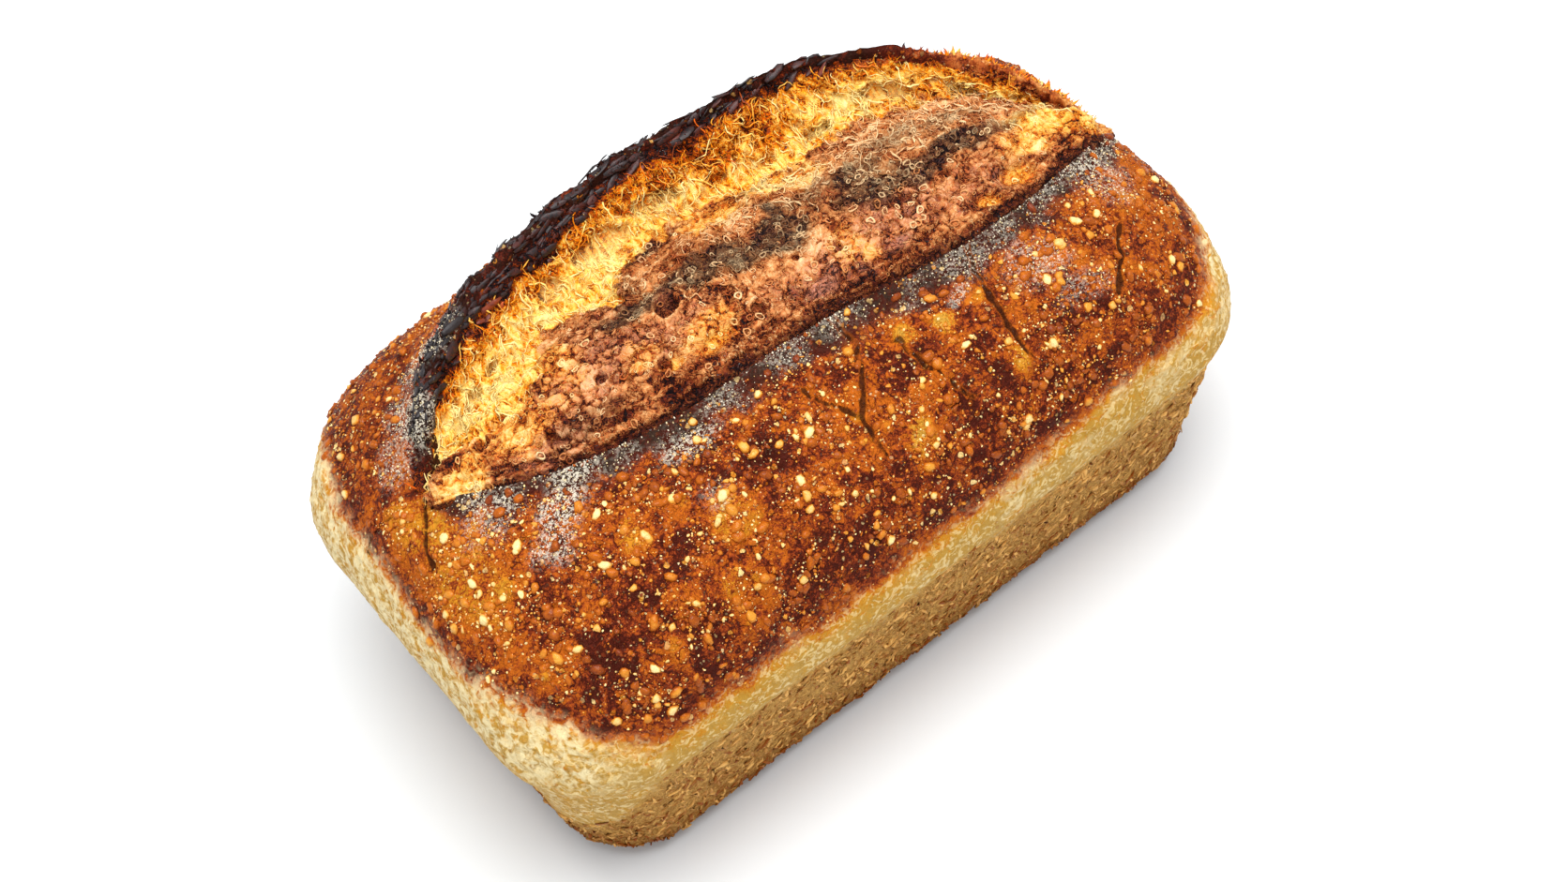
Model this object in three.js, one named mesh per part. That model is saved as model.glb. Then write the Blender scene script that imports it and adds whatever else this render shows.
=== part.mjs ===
// A sandwich loaf: a wheaten loaf baked in an open tin, with one long slash that burst open in the oven.
// Millimetres, +Z up. X runs along the loaf and Y across it, and the origin is the middle of the flat base.
// The loaf is one closed body: a foot, a wall that the tin shaped, a pale band that swelled over the tin's
// rim, and a domed top crust. The slash leaves a thin lip on its near side, a craggy swollen bloom, a torn
// valley with open holes, and a tall flap of crust, the ear, that stands up on the far side.
import * as THREE from "three";

// ---- Driving dimensions: the tin-shaped lower half ----
const BASE_LENGTH = 218;
const BASE_WIDTH = 116;
const CORNER_RADIUS = 24;
const FOOT_RADIUS = 13;
const RIM_HEIGHT = 50;
const WALL_TAPER = 7;
const BAND_SWELL = 4;
const BAND_HEIGHT = 63;
const SIDE_BOW = 2.5;
const CORNER_GROWTH = 0.6;

// ---- Driving dimensions: the domed top ----
const CROWN_RISE = 49;
const END_FULLNESS = 0.4;
const SIDE_FULLNESS = 0.62;
const CROWN_FULLNESS = 0.82;
const CROWN_ROUNDNESS = 0.95;
const RIGHT_END_SWELL = 1.5;
const LEFT_END_SWELL = -1.5;
const END_STARTS = 0.4;
const FAR_SWELL = 7;
const FAR_SWELL_HEIGHT = 73;

// ---- Driving dimensions: the slash ----
const SLASH_LEFT = -98;
const SLASH_RIGHT = 115;
const LIP_RISE = 1.6;
const LIP_WIDTH = 5;
const CREVICE_DEPTH = 3;
const BLOOM_RISE = 3;
const VALLEY_DEPTH = 8;
const EAR_RISE = 14;
const EAR_LEAN = 2.5;
const EAR_ROOT = 17;
const EAR_ROOT_CURVE = 1.6;
const EAR_TIP_EASE = 1.2;
const EAR_UNEVENNESS = 0.1;
const EAR_WAVE = 12;

// ---- Relief ----
const CRAG_HEIGHT = 1.6;
const CRAG_SIZE = 9;
const FINE_CRAG_SIZE = 4;
const BLISTER_HEIGHT = 0.7;
const BLISTER_SIZE = 14;
const BLISTERS_FROM = 12;
const BLISTERS_FULL = 80;

// ---- Mesh density ----
const COLUMNS = 76;
const FOOT_STEPS = 3;
const WALL_STEPS = 2;
const SWELL_STEPS = 3;
const TIP_GAP = 2;
const ROW_SPREAD = 0.9;
const HALVINGS = 24;

const bandHalfLength = BASE_LENGTH / 2 + WALL_TAPER + BAND_SWELL;
const bandHalfWidth = BASE_WIDTH / 2 + WALL_TAPER + BAND_SWELL;
const bandCorner = CORNER_RADIUS + (WALL_TAPER + BAND_SWELL) * CORNER_GROWTH;

const clamp01 = (t) => Math.min(1, Math.max(0, t));
const smooth = (low, high, x) => {
  const t = clamp01((x - low) / (high - low));
  return t * t * (3 - 2 * t);
};

// A curve through a few [x, y] control points, read at one x.
function curveThrough(points) {
  const curve = new THREE.SplineCurve(points.map(([x, y]) => new THREE.Vector2(x, y)));
  const samples = curve.getPoints(200);
  return (x) => {
    const next = samples.findIndex((p) => p.x > x);
    if (next === 0) return samples[0].y;
    if (next < 0) return samples.at(-1).y;
    const [a, b] = [samples[next - 1], samples[next]];
    return a.y + ((b.y - a.y) * (x - a.x)) / (b.x - a.x);
  };
}

// The slash seen from above: the lip on its near side, and the crest of the ear on its far side.
const lipY = curveThrough([
  [SLASH_LEFT, 9],
  [-76, -8],
  [-44, -19],
  [0, -21],
  [55, -27],
  [92, -21],
  [SLASH_RIGHT, -9],
]);
const earY = curveThrough([
  [SLASH_LEFT, 9],
  [-80, 29],
  [-52, 42],
  [-10, 49],
  [32, 49],
  [62, 43],
  [90, 25],
  [SLASH_RIGHT, -9],
]);

// 1 in the middle of the slash and 0 at its two ends.
function slashStrength(x) {
  const t = (2 * x - SLASH_LEFT - SLASH_RIGHT) / (SLASH_RIGHT - SLASH_LEFT);
  return Math.sqrt(Math.max(0, 1 - t * t));
}

// Smooth noise from -1 to 1, the same on every run.
function hash(ix, iy, iz) {
  let h = (ix * 374761393 + iy * 668265263 + iz * 2147483647 + 1013904223) | 0;
  h = Math.imul(h ^ (h >>> 13), 1274126177);
  return ((h ^ (h >>> 16)) >>> 0) / 2147483648 - 1;
}
function noise(x, y, z) {
  const [ix, iy, iz] = [x, y, z].map(Math.floor);
  const [fx, fy, fz] = [x - ix, y - iy, z - iz].map((t) => t * t * (3 - 2 * t));
  const corner = (i, j, k) => hash(ix + i, iy + j, iz + k);
  const mix = THREE.MathUtils.lerp;
  const layer = (k) =>
    mix(mix(corner(0, 0, k), corner(1, 0, k), fx), mix(corner(0, 1, k), corner(1, 1, k), fx), fy);
  return mix(layer(0), layer(1), fz);
}

// A point of the rounded square grid: (u, v) from -1 to 1 goes to a rectangle whose corners are round.
function roundedPoint(u, v, halfLength, halfWidth, corner) {
  const [x, y] = [u * halfLength, v * halfWidth];
  const dx = Math.abs(x) - (halfLength - corner);
  const dy = Math.abs(y) - (halfWidth - corner);
  if (dx <= 0 || dy <= 0) return [x, y];
  const pull = Math.max(dx, dy) / Math.hypot(dx, dy);
  return [
    Math.sign(x) * (halfLength - corner + dx * pull),
    Math.sign(y) * (halfWidth - corner + dy * pull),
  ];
}

// Even steps of u and v crowd towards the edge, where the crust turns down.
const crowd = (t) => Math.sin((t * Math.PI) / 2);

// The tin-shaped wall: level 0 is the edge of the flat base, and level 1 the widest ring of the band.
const FOOT_SHARE = 0.15;
const RIM_SHARE = 0.65;
function wallPoint(u, v, level) {
  const footAngle = (clamp01(level / FOOT_SHARE) * Math.PI) / 2;
  const up = clamp01((level - FOOT_SHARE) / (RIM_SHARE - FOOT_SHARE));
  const over = clamp01((level - RIM_SHARE) / (1 - RIM_SHARE));
  const offset =
    WALL_TAPER * up + BAND_SWELL * smooth(0, 1, over) - FOOT_RADIUS * (1 - Math.sin(footAngle));
  const z =
    FOOT_RADIUS * (1 - Math.cos(footAngle)) +
    (RIM_HEIGHT - FOOT_RADIUS) * up +
    (BAND_HEIGHT - RIM_HEIGHT) * over;
  const [halfLength, halfWidth] = [BASE_LENGTH / 2 + offset, BASE_WIDTH / 2 + offset];
  const corner = CORNER_RADIUS + offset * CORNER_GROWTH;
  const [x, y] = roundedPoint(crowd(u), crowd(v), halfLength, halfWidth, corner);
  return swell(new THREE.Vector3(x, y, z));
}

// Where (u, v) of the top lies, seen from above, before the loaf's swelling.
function planPoint(u, v) {
  return roundedPoint(crowd(u), crowd(v), bandHalfLength, bandHalfWidth, bandCorner);
}

// The height of the bare dome over a place: nested rounded rings shrink from the band to the crown, and
// the ring through the place gives its height.
function domeHeight(x, y) {
  let [low, high] = [0, Math.PI / 2];
  for (let step = 0; step < HALVINGS; step++) {
    const angle = (low + high) / 2;
    const halfLength = bandHalfLength * Math.cos(angle) ** END_FULLNESS;
    const halfWidth = bandHalfWidth * Math.cos(angle) ** SIDE_FULLNESS;
    const roundness = THREE.MathUtils.lerp(bandCorner / bandHalfWidth, CROWN_ROUNDNESS, Math.sin(angle));
    const corner = halfWidth * roundness;
    const dx = Math.max(0, Math.abs(x) - (halfLength - corner));
    const dy = Math.max(0, Math.abs(y) - (halfWidth - corner));
    if (Math.hypot(dx, dy) < corner) low = angle;
    else high = angle;
  }
  return BAND_HEIGHT + CROWN_RISE * Math.sin(low) ** CROWN_FULLNESS;
}

// The loaf isn't even: the sides bow, and the two ends and the far shoulder swelled by different amounts.
function swell(p) {
  const high = smooth(0, BAND_HEIGHT, p.z);
  const [along, across] = [p.x / bandHalfLength, p.y / bandHalfWidth];
  p.y += SIDE_BOW * high * (1 - along ** 2) * Math.sign(across) * across ** 4;
  p.x += RIGHT_END_SWELL * smooth(END_STARTS, 1, along) * high;
  p.x -= LEFT_END_SWELL * smooth(END_STARTS, 1, -along) * high;
  p.y += FAR_SWELL * smooth(0, 1, across) * smooth(RIM_HEIGHT, FAR_SWELL_HEIGHT, p.z);
  return p;
}

// The v at which column u crosses the line y = target(x), seen from above.
function crossing(u, target) {
  let [low, high] = [-1, 1];
  for (let step = 0; step < HALVINGS; step++) {
    const v = (low + high) / 2;
    const [x, y] = planPoint(u, v);
    if (y < target(x)) low = v;
    else high = v;
  }
  return (low + high) / 2;
}

// Rows of the top from the near band to the far band. A row in the slash has q, its share of the way from
// the lip (0) to the ear's crest (1), and its height over the dome there; the others have a share of a side.
const rows = [
  ...[0, 0.09, 0.18, 0.27, 0.36, 0.45, 0.54, 0.63, 0.72, 0.81, 0.9, 0.96].map((near) => ({ near })),
  { q: 0, rise: LIP_RISE },
  { q: 0.035, rise: -CREVICE_DEPTH },
  { q: 0.11, rise: -0.2 * CREVICE_DEPTH, crag: 0.5 },
  { q: 0.19, rise: 0.5 * BLOOM_RISE, crag: 1 },
  { q: 0.27, rise: 0.9 * BLOOM_RISE, crag: 1 },
  { q: 0.35, rise: BLOOM_RISE, crag: 1 },
  { q: 0.43, rise: 0.9 * BLOOM_RISE, crag: 1 },
  { q: 0.51, rise: 0.4 * BLOOM_RISE, crag: 1 },
  { q: 0.58, rise: -0.1 * VALLEY_DEPTH, crag: 1 },
  { q: 0.65, rise: -0.55 * VALLEY_DEPTH, crag: 1 },
  { q: 0.73, rise: -0.9 * VALLEY_DEPTH, crag: 1 },
  { q: 0.81, rise: -VALLEY_DEPTH, crag: 0.7 },
  { q: 0.88, rise: -0.45 * VALLEY_DEPTH, crag: 0.6 },
  { q: 0.94, rise: 0.45 * EAR_RISE, crag: 0.4 },
  { q: 0.985, rise: 0.9 * EAR_RISE, crag: 0.2 },
  { q: 1, rise: EAR_RISE },
  ...[0.05, 0.13, 0.24, 0.36, 0.48, 0.6, 0.72, 0.84, 0.93, 1].map((far) => ({ far })),
];

// The far edge of the slash's rows. Past the slash's two tips the rows spread again over the whole crust.
function farEdgeY(x) {
  const past = Math.max(0, SLASH_LEFT - x, x - SLASH_RIGHT);
  return Math.max(earY(x), lipY(x) + TIP_GAP + ROW_SPREAD * past);
}

// The v of a row in column u: it follows the slash, and past the tips eases to even steps at the ends.
function rowV(row, index, u) {
  const even = -1 + (2 * index) / (rows.length - 1);
  const tip = u < 0 ? -SLASH_LEFT : SLASH_RIGHT;
  const tipU = (2 / Math.PI) * Math.asin(tip / bandHalfLength);
  const follow = 1 - smooth(tipU, 1, Math.abs(u));
  if (follow === 0) return even;
  const lip = crossing(u, lipY);
  const ear = crossing(u, farEdgeY);
  let v;
  if (row.near !== undefined) v = THREE.MathUtils.lerp(-1, lip, row.near);
  else if (row.far !== undefined) v = THREE.MathUtils.lerp(ear, 1, row.far);
  else v = crossing(u, (x) => THREE.MathUtils.lerp(lipY(x), farEdgeY(x), row.q));
  return THREE.MathUtils.lerp(even, v, follow);
}

// Lifts a dome point to the real crust: the lip, the bloom, the valley and the ear, with their crags.
function dress(p, row) {
  const strength = slashStrength(p.x);
  const ear = strength ** EAR_TIP_EASE * (1 + EAR_UNEVENNESS * noise(p.x / EAR_WAVE, 0, 3));
  if (row.q !== undefined) {
    p.z += row.rise * (row.rise > 0.4 * EAR_RISE ? ear : strength);
    const coarse = noise(p.x / CRAG_SIZE, p.y / CRAG_SIZE, 0);
    const fine = noise(p.x / FINE_CRAG_SIZE, p.y / FINE_CRAG_SIZE, 7);
    p.z += CRAG_HEIGHT * (row.crag ?? 0) * (coarse + 0.5 * fine) * strength;
    p.y += EAR_LEAN * ear * smooth(0.9, 1, row.q);
    return p;
  }
  const beyondEar = p.y - earY(p.x);
  if (row.far !== undefined && beyondEar < EAR_ROOT) {
    const left = clamp01(1 - beyondEar / EAR_ROOT);
    p.z += EAR_RISE * ear * left ** EAR_ROOT_CURVE;
    p.y += EAR_LEAN * ear * left;
  }
  const beforeLip = lipY(p.x) - p.y;
  if (row.near !== undefined && beforeLip < LIP_WIDTH)
    p.z += LIP_RISE * strength * (1 - beforeLip / LIP_WIDTH);
  return p;
}

// Low blisters over the whole crust, fading out towards the foot. They rise outwards and a little upwards.
function blister(p) {
  const amount = BLISTER_HEIGHT * smooth(BLISTERS_FROM, BLISTERS_FULL, p.z);
  const [a, b, c] = [p.x, p.y, p.z].map((t) => t / BLISTER_SIZE);
  const up = 1 / (4 * BAND_HEIGHT);
  const out = new THREE.Vector3(p.x / bandHalfLength ** 2, p.y / bandHalfWidth ** 2, up);
  return p.addScaledVector(out.normalize(), amount * noise(a, b, c));
}

// The whole skin: the top grid, the wall rings under it and a fan for the flat base.
function loafGeometry() {
  const rowCount = rows.length;
  const positions = [];
  const index = [];
  const add = (p) => positions.push(p.x, p.y, p.z) / 3 - 1;
  const corner = (i) => new THREE.Vector3().fromArray(positions, 3 * i);
  const apart = (i, j) => corner(i).distanceTo(corner(j));
  const quad = (a, b, c, d) => {
    if (apart(a, c) < apart(b, d)) index.push(a, b, c, a, c, d);
    else index.push(b, c, d, b, d, a);
  };

  const top = [];
  const border = [];
  for (let i = 0; i <= COLUMNS; i++) {
    const u = -1 + (2 * i) / COLUMNS;
    top.push(
      rows.map((row, j) => {
        const v = rowV(row, j, u);
        const [x, y] = planPoint(u, v);
        const crust = swell(dress(new THREE.Vector3(x, y, domeHeight(x, y)), row));
        return { id: add(blister(crust)), u, v };
      }),
    );
  }
  for (let i = 0; i < COLUMNS; i++)
    for (let j = 0; j < rowCount - 1; j++)
      quad(top[i][j].id, top[i + 1][j].id, top[i + 1][j + 1].id, top[i][j + 1].id);

  for (let i = 0; i < COLUMNS; i++) border.push(top[i][0]);
  for (let j = 0; j < rowCount - 1; j++) border.push(top[COLUMNS][j]);
  for (let i = COLUMNS; i > 0; i--) border.push(top[i][rowCount - 1]);
  for (let j = rowCount - 1; j > 0; j--) border.push(top[0][j]);

  const levels = [];
  for (let k = 0; k < FOOT_STEPS; k++) levels.push((FOOT_SHARE * k) / FOOT_STEPS);
  for (let k = 0; k < WALL_STEPS; k++)
    levels.push(FOOT_SHARE + ((RIM_SHARE - FOOT_SHARE) * k) / WALL_STEPS);
  for (let k = 0; k < SWELL_STEPS; k++)
    levels.push(RIM_SHARE + ((1 - RIM_SHARE) * k) / SWELL_STEPS);

  let below = border.map(({ id }) => id);
  for (const level of levels.reverse()) {
    const ring = border.map(({ u, v }) => add(blister(wallPoint(u, v, level))));
    ring.forEach((id, k) => {
      const next = (k + 1) % ring.length;
      quad(id, ring[next], below[next], below[k]);
    });
    below = ring;
  }
  const middle = add(new THREE.Vector3(0, 0, 0));
  below.forEach((id, k) => index.push(middle, below[(k + 1) % below.length], id));

  const geometry = new THREE.BufferGeometry();
  geometry.setAttribute("position", new THREE.Float32BufferAttribute(positions, 3));
  geometry.setIndex(index);
  geometry.computeVertexNormals();
  return geometry;
}

const crust = new THREE.MeshStandardMaterial({ color: 0x9c5a24, roughness: 0.6, metalness: 0 });
const loaf = new THREE.Mesh(loafGeometry(), crust);
loaf.name = "loaf";

const model = new THREE.Group();
model.add(loaf);

export default model;
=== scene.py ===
import math

import bpy
import numpy as np
from bpy.props import FloatProperty, FloatVectorProperty, PointerProperty
from mathutils import Matrix, Vector


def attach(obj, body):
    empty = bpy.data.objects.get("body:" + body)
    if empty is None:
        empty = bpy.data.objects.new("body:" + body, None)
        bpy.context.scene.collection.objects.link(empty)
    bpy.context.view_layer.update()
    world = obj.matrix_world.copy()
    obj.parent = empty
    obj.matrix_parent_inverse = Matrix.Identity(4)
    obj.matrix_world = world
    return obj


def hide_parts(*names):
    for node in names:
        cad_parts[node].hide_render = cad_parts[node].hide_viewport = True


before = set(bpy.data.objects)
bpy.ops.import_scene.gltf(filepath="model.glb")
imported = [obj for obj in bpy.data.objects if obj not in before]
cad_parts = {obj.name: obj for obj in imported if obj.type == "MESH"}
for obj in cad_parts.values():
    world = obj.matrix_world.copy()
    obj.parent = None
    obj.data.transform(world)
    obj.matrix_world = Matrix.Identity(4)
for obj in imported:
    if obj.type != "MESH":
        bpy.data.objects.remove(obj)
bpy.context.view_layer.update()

bl_info = {
    "name": "Sandwich Loaf",
    "version": (1, 0, 0),
    "blender": (4, 5, 0),
    "location": "3D View > Sidebar > Loaf",
    "description": "Dresses a tin-baked sandwich loaf: crust, burst slash, ear, blisters, strands and flour",
    "category": "Add Mesh",
}

# The loaf is worked out in millimetres and made in metres.
MM = 0.001
NODE = "loaf"
BODY = "root"

# ---- The tin-shaped lower half ----
BASE_LENGTH = 218
BASE_WIDTH = 116
CORNER_RADIUS = 24
FOOT_RADIUS = 13
RIM_HEIGHT = 50
WALL_TAPER = 7
BAND_SWELL = 4
BAND_HEIGHT = 63
SIDE_BOW = 2.5
CORNER_GROWTH = 0.6
FOOT_SHARE = 0.15
RIM_SHARE = 0.65

# ---- The domed top ----
CROWN_RISE = 49
END_FULLNESS = 0.4
SIDE_FULLNESS = 0.62
CROWN_FULLNESS = 0.82
CROWN_ROUNDNESS = 0.95
RIGHT_END_SWELL = 1.5
LEFT_END_SWELL = -1.5
END_STARTS = 0.4
FAR_SWELL = 7
FAR_SWELL_HEIGHT = 73

# ---- The slash ----
SLASH_LEFT = -98
SLASH_RIGHT = 115
LIP_RISE = 1.6
LIP_WIDTH = 5
EAR_RISE = 14
EAR_LEAN = 2.5
EAR_ROOT = 17
EAR_ROOT_CURVE = 1.6
EAR_TIP_EASE = 1.2
EAR_UNEVENNESS = 0.1
EAR_WAVE = 12

# ---- Mesh density ----
COLUMNS = 330
NEAR_ROWS = 92
FAR_ROWS = 72
FOOT_RINGS = 6
WALL_RINGS = 14
SWELL_RINGS = 9
TIP_GAP = 2
ROW_SPREAD = 0.9
HALVINGS = 24

band_half_length = BASE_LENGTH / 2 + WALL_TAPER + BAND_SWELL
band_half_width = BASE_WIDTH / 2 + WALL_TAPER + BAND_SWELL
band_corner = CORNER_RADIUS + (WALL_TAPER + BAND_SWELL) * CORNER_GROWTH

# ---- Where things lie on the loaf, seen from above, in millimetres ----
# Soft patches: (x, y, reach along, reach across, strength).
DARK_PATCHES = [
    (-80, -52, 17, 8, 1.0), (-44, -31, 18, 6, 0.8), (-29, -43, 14, 8, 1.0), (-62, -46, 10, 8, 0.7),
    (-8, -29, 14, 5, 0.7), (16, -44, 13, 6, 0.6), (46, -31, 14, 6, 0.5), (62, -56, 14, 4, 0.5),
    (28, -60, 14, 4, 0.4), (-92, -38, 8, 8, 0.4), (88, -40, 8, 12, 0.4), (-85, -14, 10, 8, 0.6),
]  # fmt: skip
ORANGE_PATCHES = [
    (-41, -48, 10, 6, 1.0), (-50, -62, 8, 5, 0.8), (33, -40, 5, 4, 1.0), (22, -37, 4, 4, 0.9),
    (9, -58, 7, 4, 1.0), (42, -57, 5, 4, 1.0), (-66, -38, 7, 6, 0.9), (-102, -45, 10, 14, 0.6),
    (-105, -10, 7, 16, 0.6), (-106, 22, 6, 12, 0.4), (76, -50, 10, 7, 0.6), (104, -30, 8, 14, 0.5),
    (2, -44, 8, 6, 0.5), (98, -8, 6, 5, 0.6), (-104, -4, 18, 40, 0.9), (46, -34, 14, 8, 0.8),
    (100, -24, 14, 24, 0.8),
]  # fmt: skip
FLOUR_PATCHES = [
    (-73, -20, 8, 6, 1.0), (-80, -26, 7, 5, 0.9), (-88, -8, 9, 8, 0.55), (-66, -14, 8, 3, 0.5),
    (-38, -28, 10, 3.5, 0.7), (40, -37, 5, 2, 0.8), (62, -41, 10, 7, 0.6), (68, -52, 9, 4, 0.4),
    (96, -28, 10, 9, 0.45), (-42, -43, 5, 4, 0.35), (-86, 30, 7, 12, 1.0), (-72, 44, 12, 6, 0.9),
    (-96, 26, 6, 8, 0.5), (112, -12, 5, 10, 0.5),
]  # fmt: skip
# Round swellings of the crust: (x, y, radius, height).
BUBBLES = [
    (-50, -62.5, 6.8, 0.9), (-67, -55, 3.2, 1.2), (-73, -55, 2.2, 1.1), (-72, -62, 3.2, 1.0),
    (33, -40, 4.2, 0.9), (22, -37, 3.6, 0.8), (9, -58, 4.5, 0.9), (42, -57, 3.6, 1.0), (-28, -40, 2.2, 1.2),
    (-31, -45, 1.8, 1.1), (-102, -60, 2.2, 0.8), (-65, -40, 4.5, 0.7), (-41, -47, 7.5, 0.7),
    (-85, -52, 1.8, 1.0), (3, -52, 2.2, 0.9), (-2, -47, 2.0, 0.9), (28, -51, 2.2, 0.8),
]  # fmt: skip
# One bubble has burst: (x, y, radius, depth).
CRATER = (-50, -62.5, 4.2, 1.3)
# Thin cracks, each a path seen from above.
CRACKS = [
    [(10, -21), (11, -29), (8, -37), (-1, -47), (-2, -57)],
    [(-9, -33), (-5, -41), (-1, -47)],
    [(52, -24), (48, -33), (45, -47), (45, -57)],
    [(19, -36), (21, -46), (26, -57)],
    [(90, -42), (85, -47), (76, -57)],
    [(-98, 9), (-103, 3), (-105, -5)],
]  # fmt: skip

# The torn inside. Its brown skin, the bloom, ends along this line, with golden crumb beyond it.
BLOOM_EDGE = [
    (-98, 9), (-86, 13), (-76, 9), (-61, 10), (-52, 20), (-47, 31), (-39, 33), (-31, 27), (-25.5, 20),
    (-20, 31), (-8, 38.5), (12, 40.5), (19, 38), (24, 33), (40, 31), (50, 31.5), (62, 33), (72, 28.5),
    (86, 22.5), (97, 11.5), (106, 3), (114, -8),
]  # fmt: skip
# How far the burnt orange reaches down from the ear's crest.
BURN_REACH = [
    (-98, 6), (-80, 10), (-60, 14), (-40, 14), (-20, 13), (0, 14), (14, 18), (34, 20), (48, 15), (62, 9),
    (114, 6),
]  # fmt: skip
# How far the char reaches down the ear's inner face.
CHAR_REACH = [(-98, 2.5), (-70, 4), (-40, 5), (-15, 4), (5, 3), (45, 2.4), (80, 2), (114, 1.5)]
# Deep open holes in the golden crumb: (x, y, reach along, reach across, turn in degrees).
HOLES = [
    (-16, 45.5, 10, 2.6, 3), (3, 47.5, 8, 2.2, -4), (-35, 42.5, 4, 1.8, 12), (-70, 28, 5, 1.7, 36),
    (-60, 33.5, 3, 1.3, 30), (-78, 22.5, 3.5, 1.2, 42), (-93, 14.5, 4.5, 1.4, 55), (52, 38.5, 5, 1.8, -10),
    (73, 34, 8, 1.8, -32), (90, 21.5, 5, 1.3, -48), (22, 44.5, 3, 1.2, -5), (36, 41, 3, 1.4, -8),
]  # fmt: skip
# Round pits with raised rims in the bloom: (x, y, radius).
PITS = [
    (-19, 8, 3.4), (-45, 1, 1.9), (-64, -3.5, 2.0), (25.5, -6.3, 1.8), (28, -11.7, 1.5), (48.3, -6.3, 2.1),
    (62, -6.3, 1.1), (54.7, -11.3, 1.2), (-2, -7.5, 2.0), (-78, 8, 2.6), (-70, 11, 2.4), (-10, 12, 1.7),
    (-7, 7, 1.5), (34, 3, 1.4), (68, -3, 1.4), (-30, -5.5, 2.2), (15, -2, 1.3), (40, -3.5, 1.2),
]  # fmt: skip
# Soft patches in the bloom: golden hollows and smooth bubbles beside the lip, then stains of its skin.
HOLLOWS = [
    (65, -19.0, 4, 1.8, 1.0), (77, -16.5, 5.5, 3.0, 1.0), (-29, -6.5, 4, 2.2, 1.0), (-15, -8.5, 7, 2.6, 0.8),
    (28, -11, 4, 3, 0.6),
]  # fmt: skip
PILLOWS = [(14.5, -13, 4.8, 2.6, 1.0), (38, -15.5, 4, 2, 0.7), (-18, 12, 4, 3, 0.4)]
SOOT_PATCHES = [
    (-26, 14, 11, 4, 0.9), (-8, 14, 13, 5, 0.9), (8, 8, 14, 5, 1.0), (17, 6, 9, 7, 1.0), (0, 10, 15, 5, 0.8),
    (42, 3, 13, 5, 1.0), (54, -1, 17, 4.5, 1.0), (68, 0, 14, 4, 0.9), (80, -1, 11, 3.5, 0.6),
    (44, 10, 10, 6, 0.75), (60, 15, 10, 6, 0.5), (-8, 37, 11, 3, 0.7), (-22, 26, 4, 7, 0.6),
    (27, 34, 7, 3, 0.5), (-26.5, 24, 2.4, 9, 0.8), (76, 10, 12, 5, 0.4), (96, 0, 10, 3, 0.4),
    (21, 14, 4, 9, 0.8), (-55, -6, 14, 3, 0.4), (30, 12, 10, 6, 0.5),
]  # fmt: skip
ROSY_PATCHES = [
    (-44, 5, 22, 9, 0.8), (-22, 0, 14, 7, 0.6), (35, -9, 34, 8, 0.9), (-66, -6, 14, 6, 0.7),
    (-35, 18, 12, 8, 0.4), (60, -12, 18, 6, 0.7),
]  # fmt: skip
TAN_PATCHES = [
    (66, 17, 34, 15, 1.0), (30, 20, 16, 14, 0.7), (92, 6, 14, 12, 0.7), (5, 22, 14, 14, 0.5),
    (0, 6, 16, 6, 0.6), (-18, 22, 5, 8, 0.5),
]  # fmt: skip
ORANGE_BLOOM = [
    (100, -6, 16, 9, 1.0), (12, 32, 10, 9, 0.8), (28, 30, 8, 8, 0.8), (-52, 14, 9, 12, 0.6),
    (-66, 4, 12, 8, 0.7), (36, 24, 10, 9, 0.6), (-15, -4, 10, 5, 0.7), (88, -10, 12, 5, 0.8),
    (-86, 5, 10, 6, 0.8), (-34, -1, 7, 4, 0.5), (28, -9, 6, 6, 0.5),
]  # fmt: skip


# ---- Small mathematics ----
def smooth(low, high, x):
    t = np.clip((x - low) / (high - low), 0, 1)
    return t * t * (3 - 2 * t)


def mix(a, b, t):
    return a + (b - a) * t


def curve_through(points, steps=200):
    """A smooth curve through a few (x, y) control points, as a function of x."""
    knots = np.array([points[0], *points, points[-1]], float)
    t = np.linspace(0, len(points) - 1, steps + 1)
    k = np.minimum(t.astype(int), len(points) - 2)
    f = (t - k)[:, None]
    before, start, end, after = (knots[k + i] for i in range(4))
    leave, arrive = (end - before) / 2, (after - start) / 2
    path = (
        (2 * start - 2 * end + leave + arrive) * f**3
        + (3 * end - 3 * start - 2 * leave - arrive) * f**2
        + leave * f
        + start
    )
    return lambda x: np.interp(x, path[:, 0], path[:, 1])


# Large odd numbers that scatter the bits of neighbouring cells, and the masks that keep the lowest bits.
SCATTER = (374761393, 668265263, 1274126177, 1103515245)
SEED_STEP = 1013904223
ALL_BITS = 0xFFFFFFFF
TEN_BITS = 1023


def scramble(cell, seed):
    """A whole number of 32 random bits for each whole-number place, the same on every run."""
    h = cell[..., 0] * SCATTER[0] + cell[..., 1] * SCATTER[1] + cell[..., 2] * SCATTER[2] + seed * SEED_STEP
    h = h & ALL_BITS
    h = ((h ^ (h >> 13)) * SCATTER[2]) & ALL_BITS
    h = ((h ^ (h >> 16)) * SCATTER[3]) & ALL_BITS
    return h ^ (h >> 15)


def three_numbers(cell, seed):
    """Three random numbers from 0 to 1 for each place."""
    h = scramble(cell, seed)
    return np.stack([(h >> shift) & TEN_BITS for shift in (0, 10, 20)], axis=-1) / TEN_BITS


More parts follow.
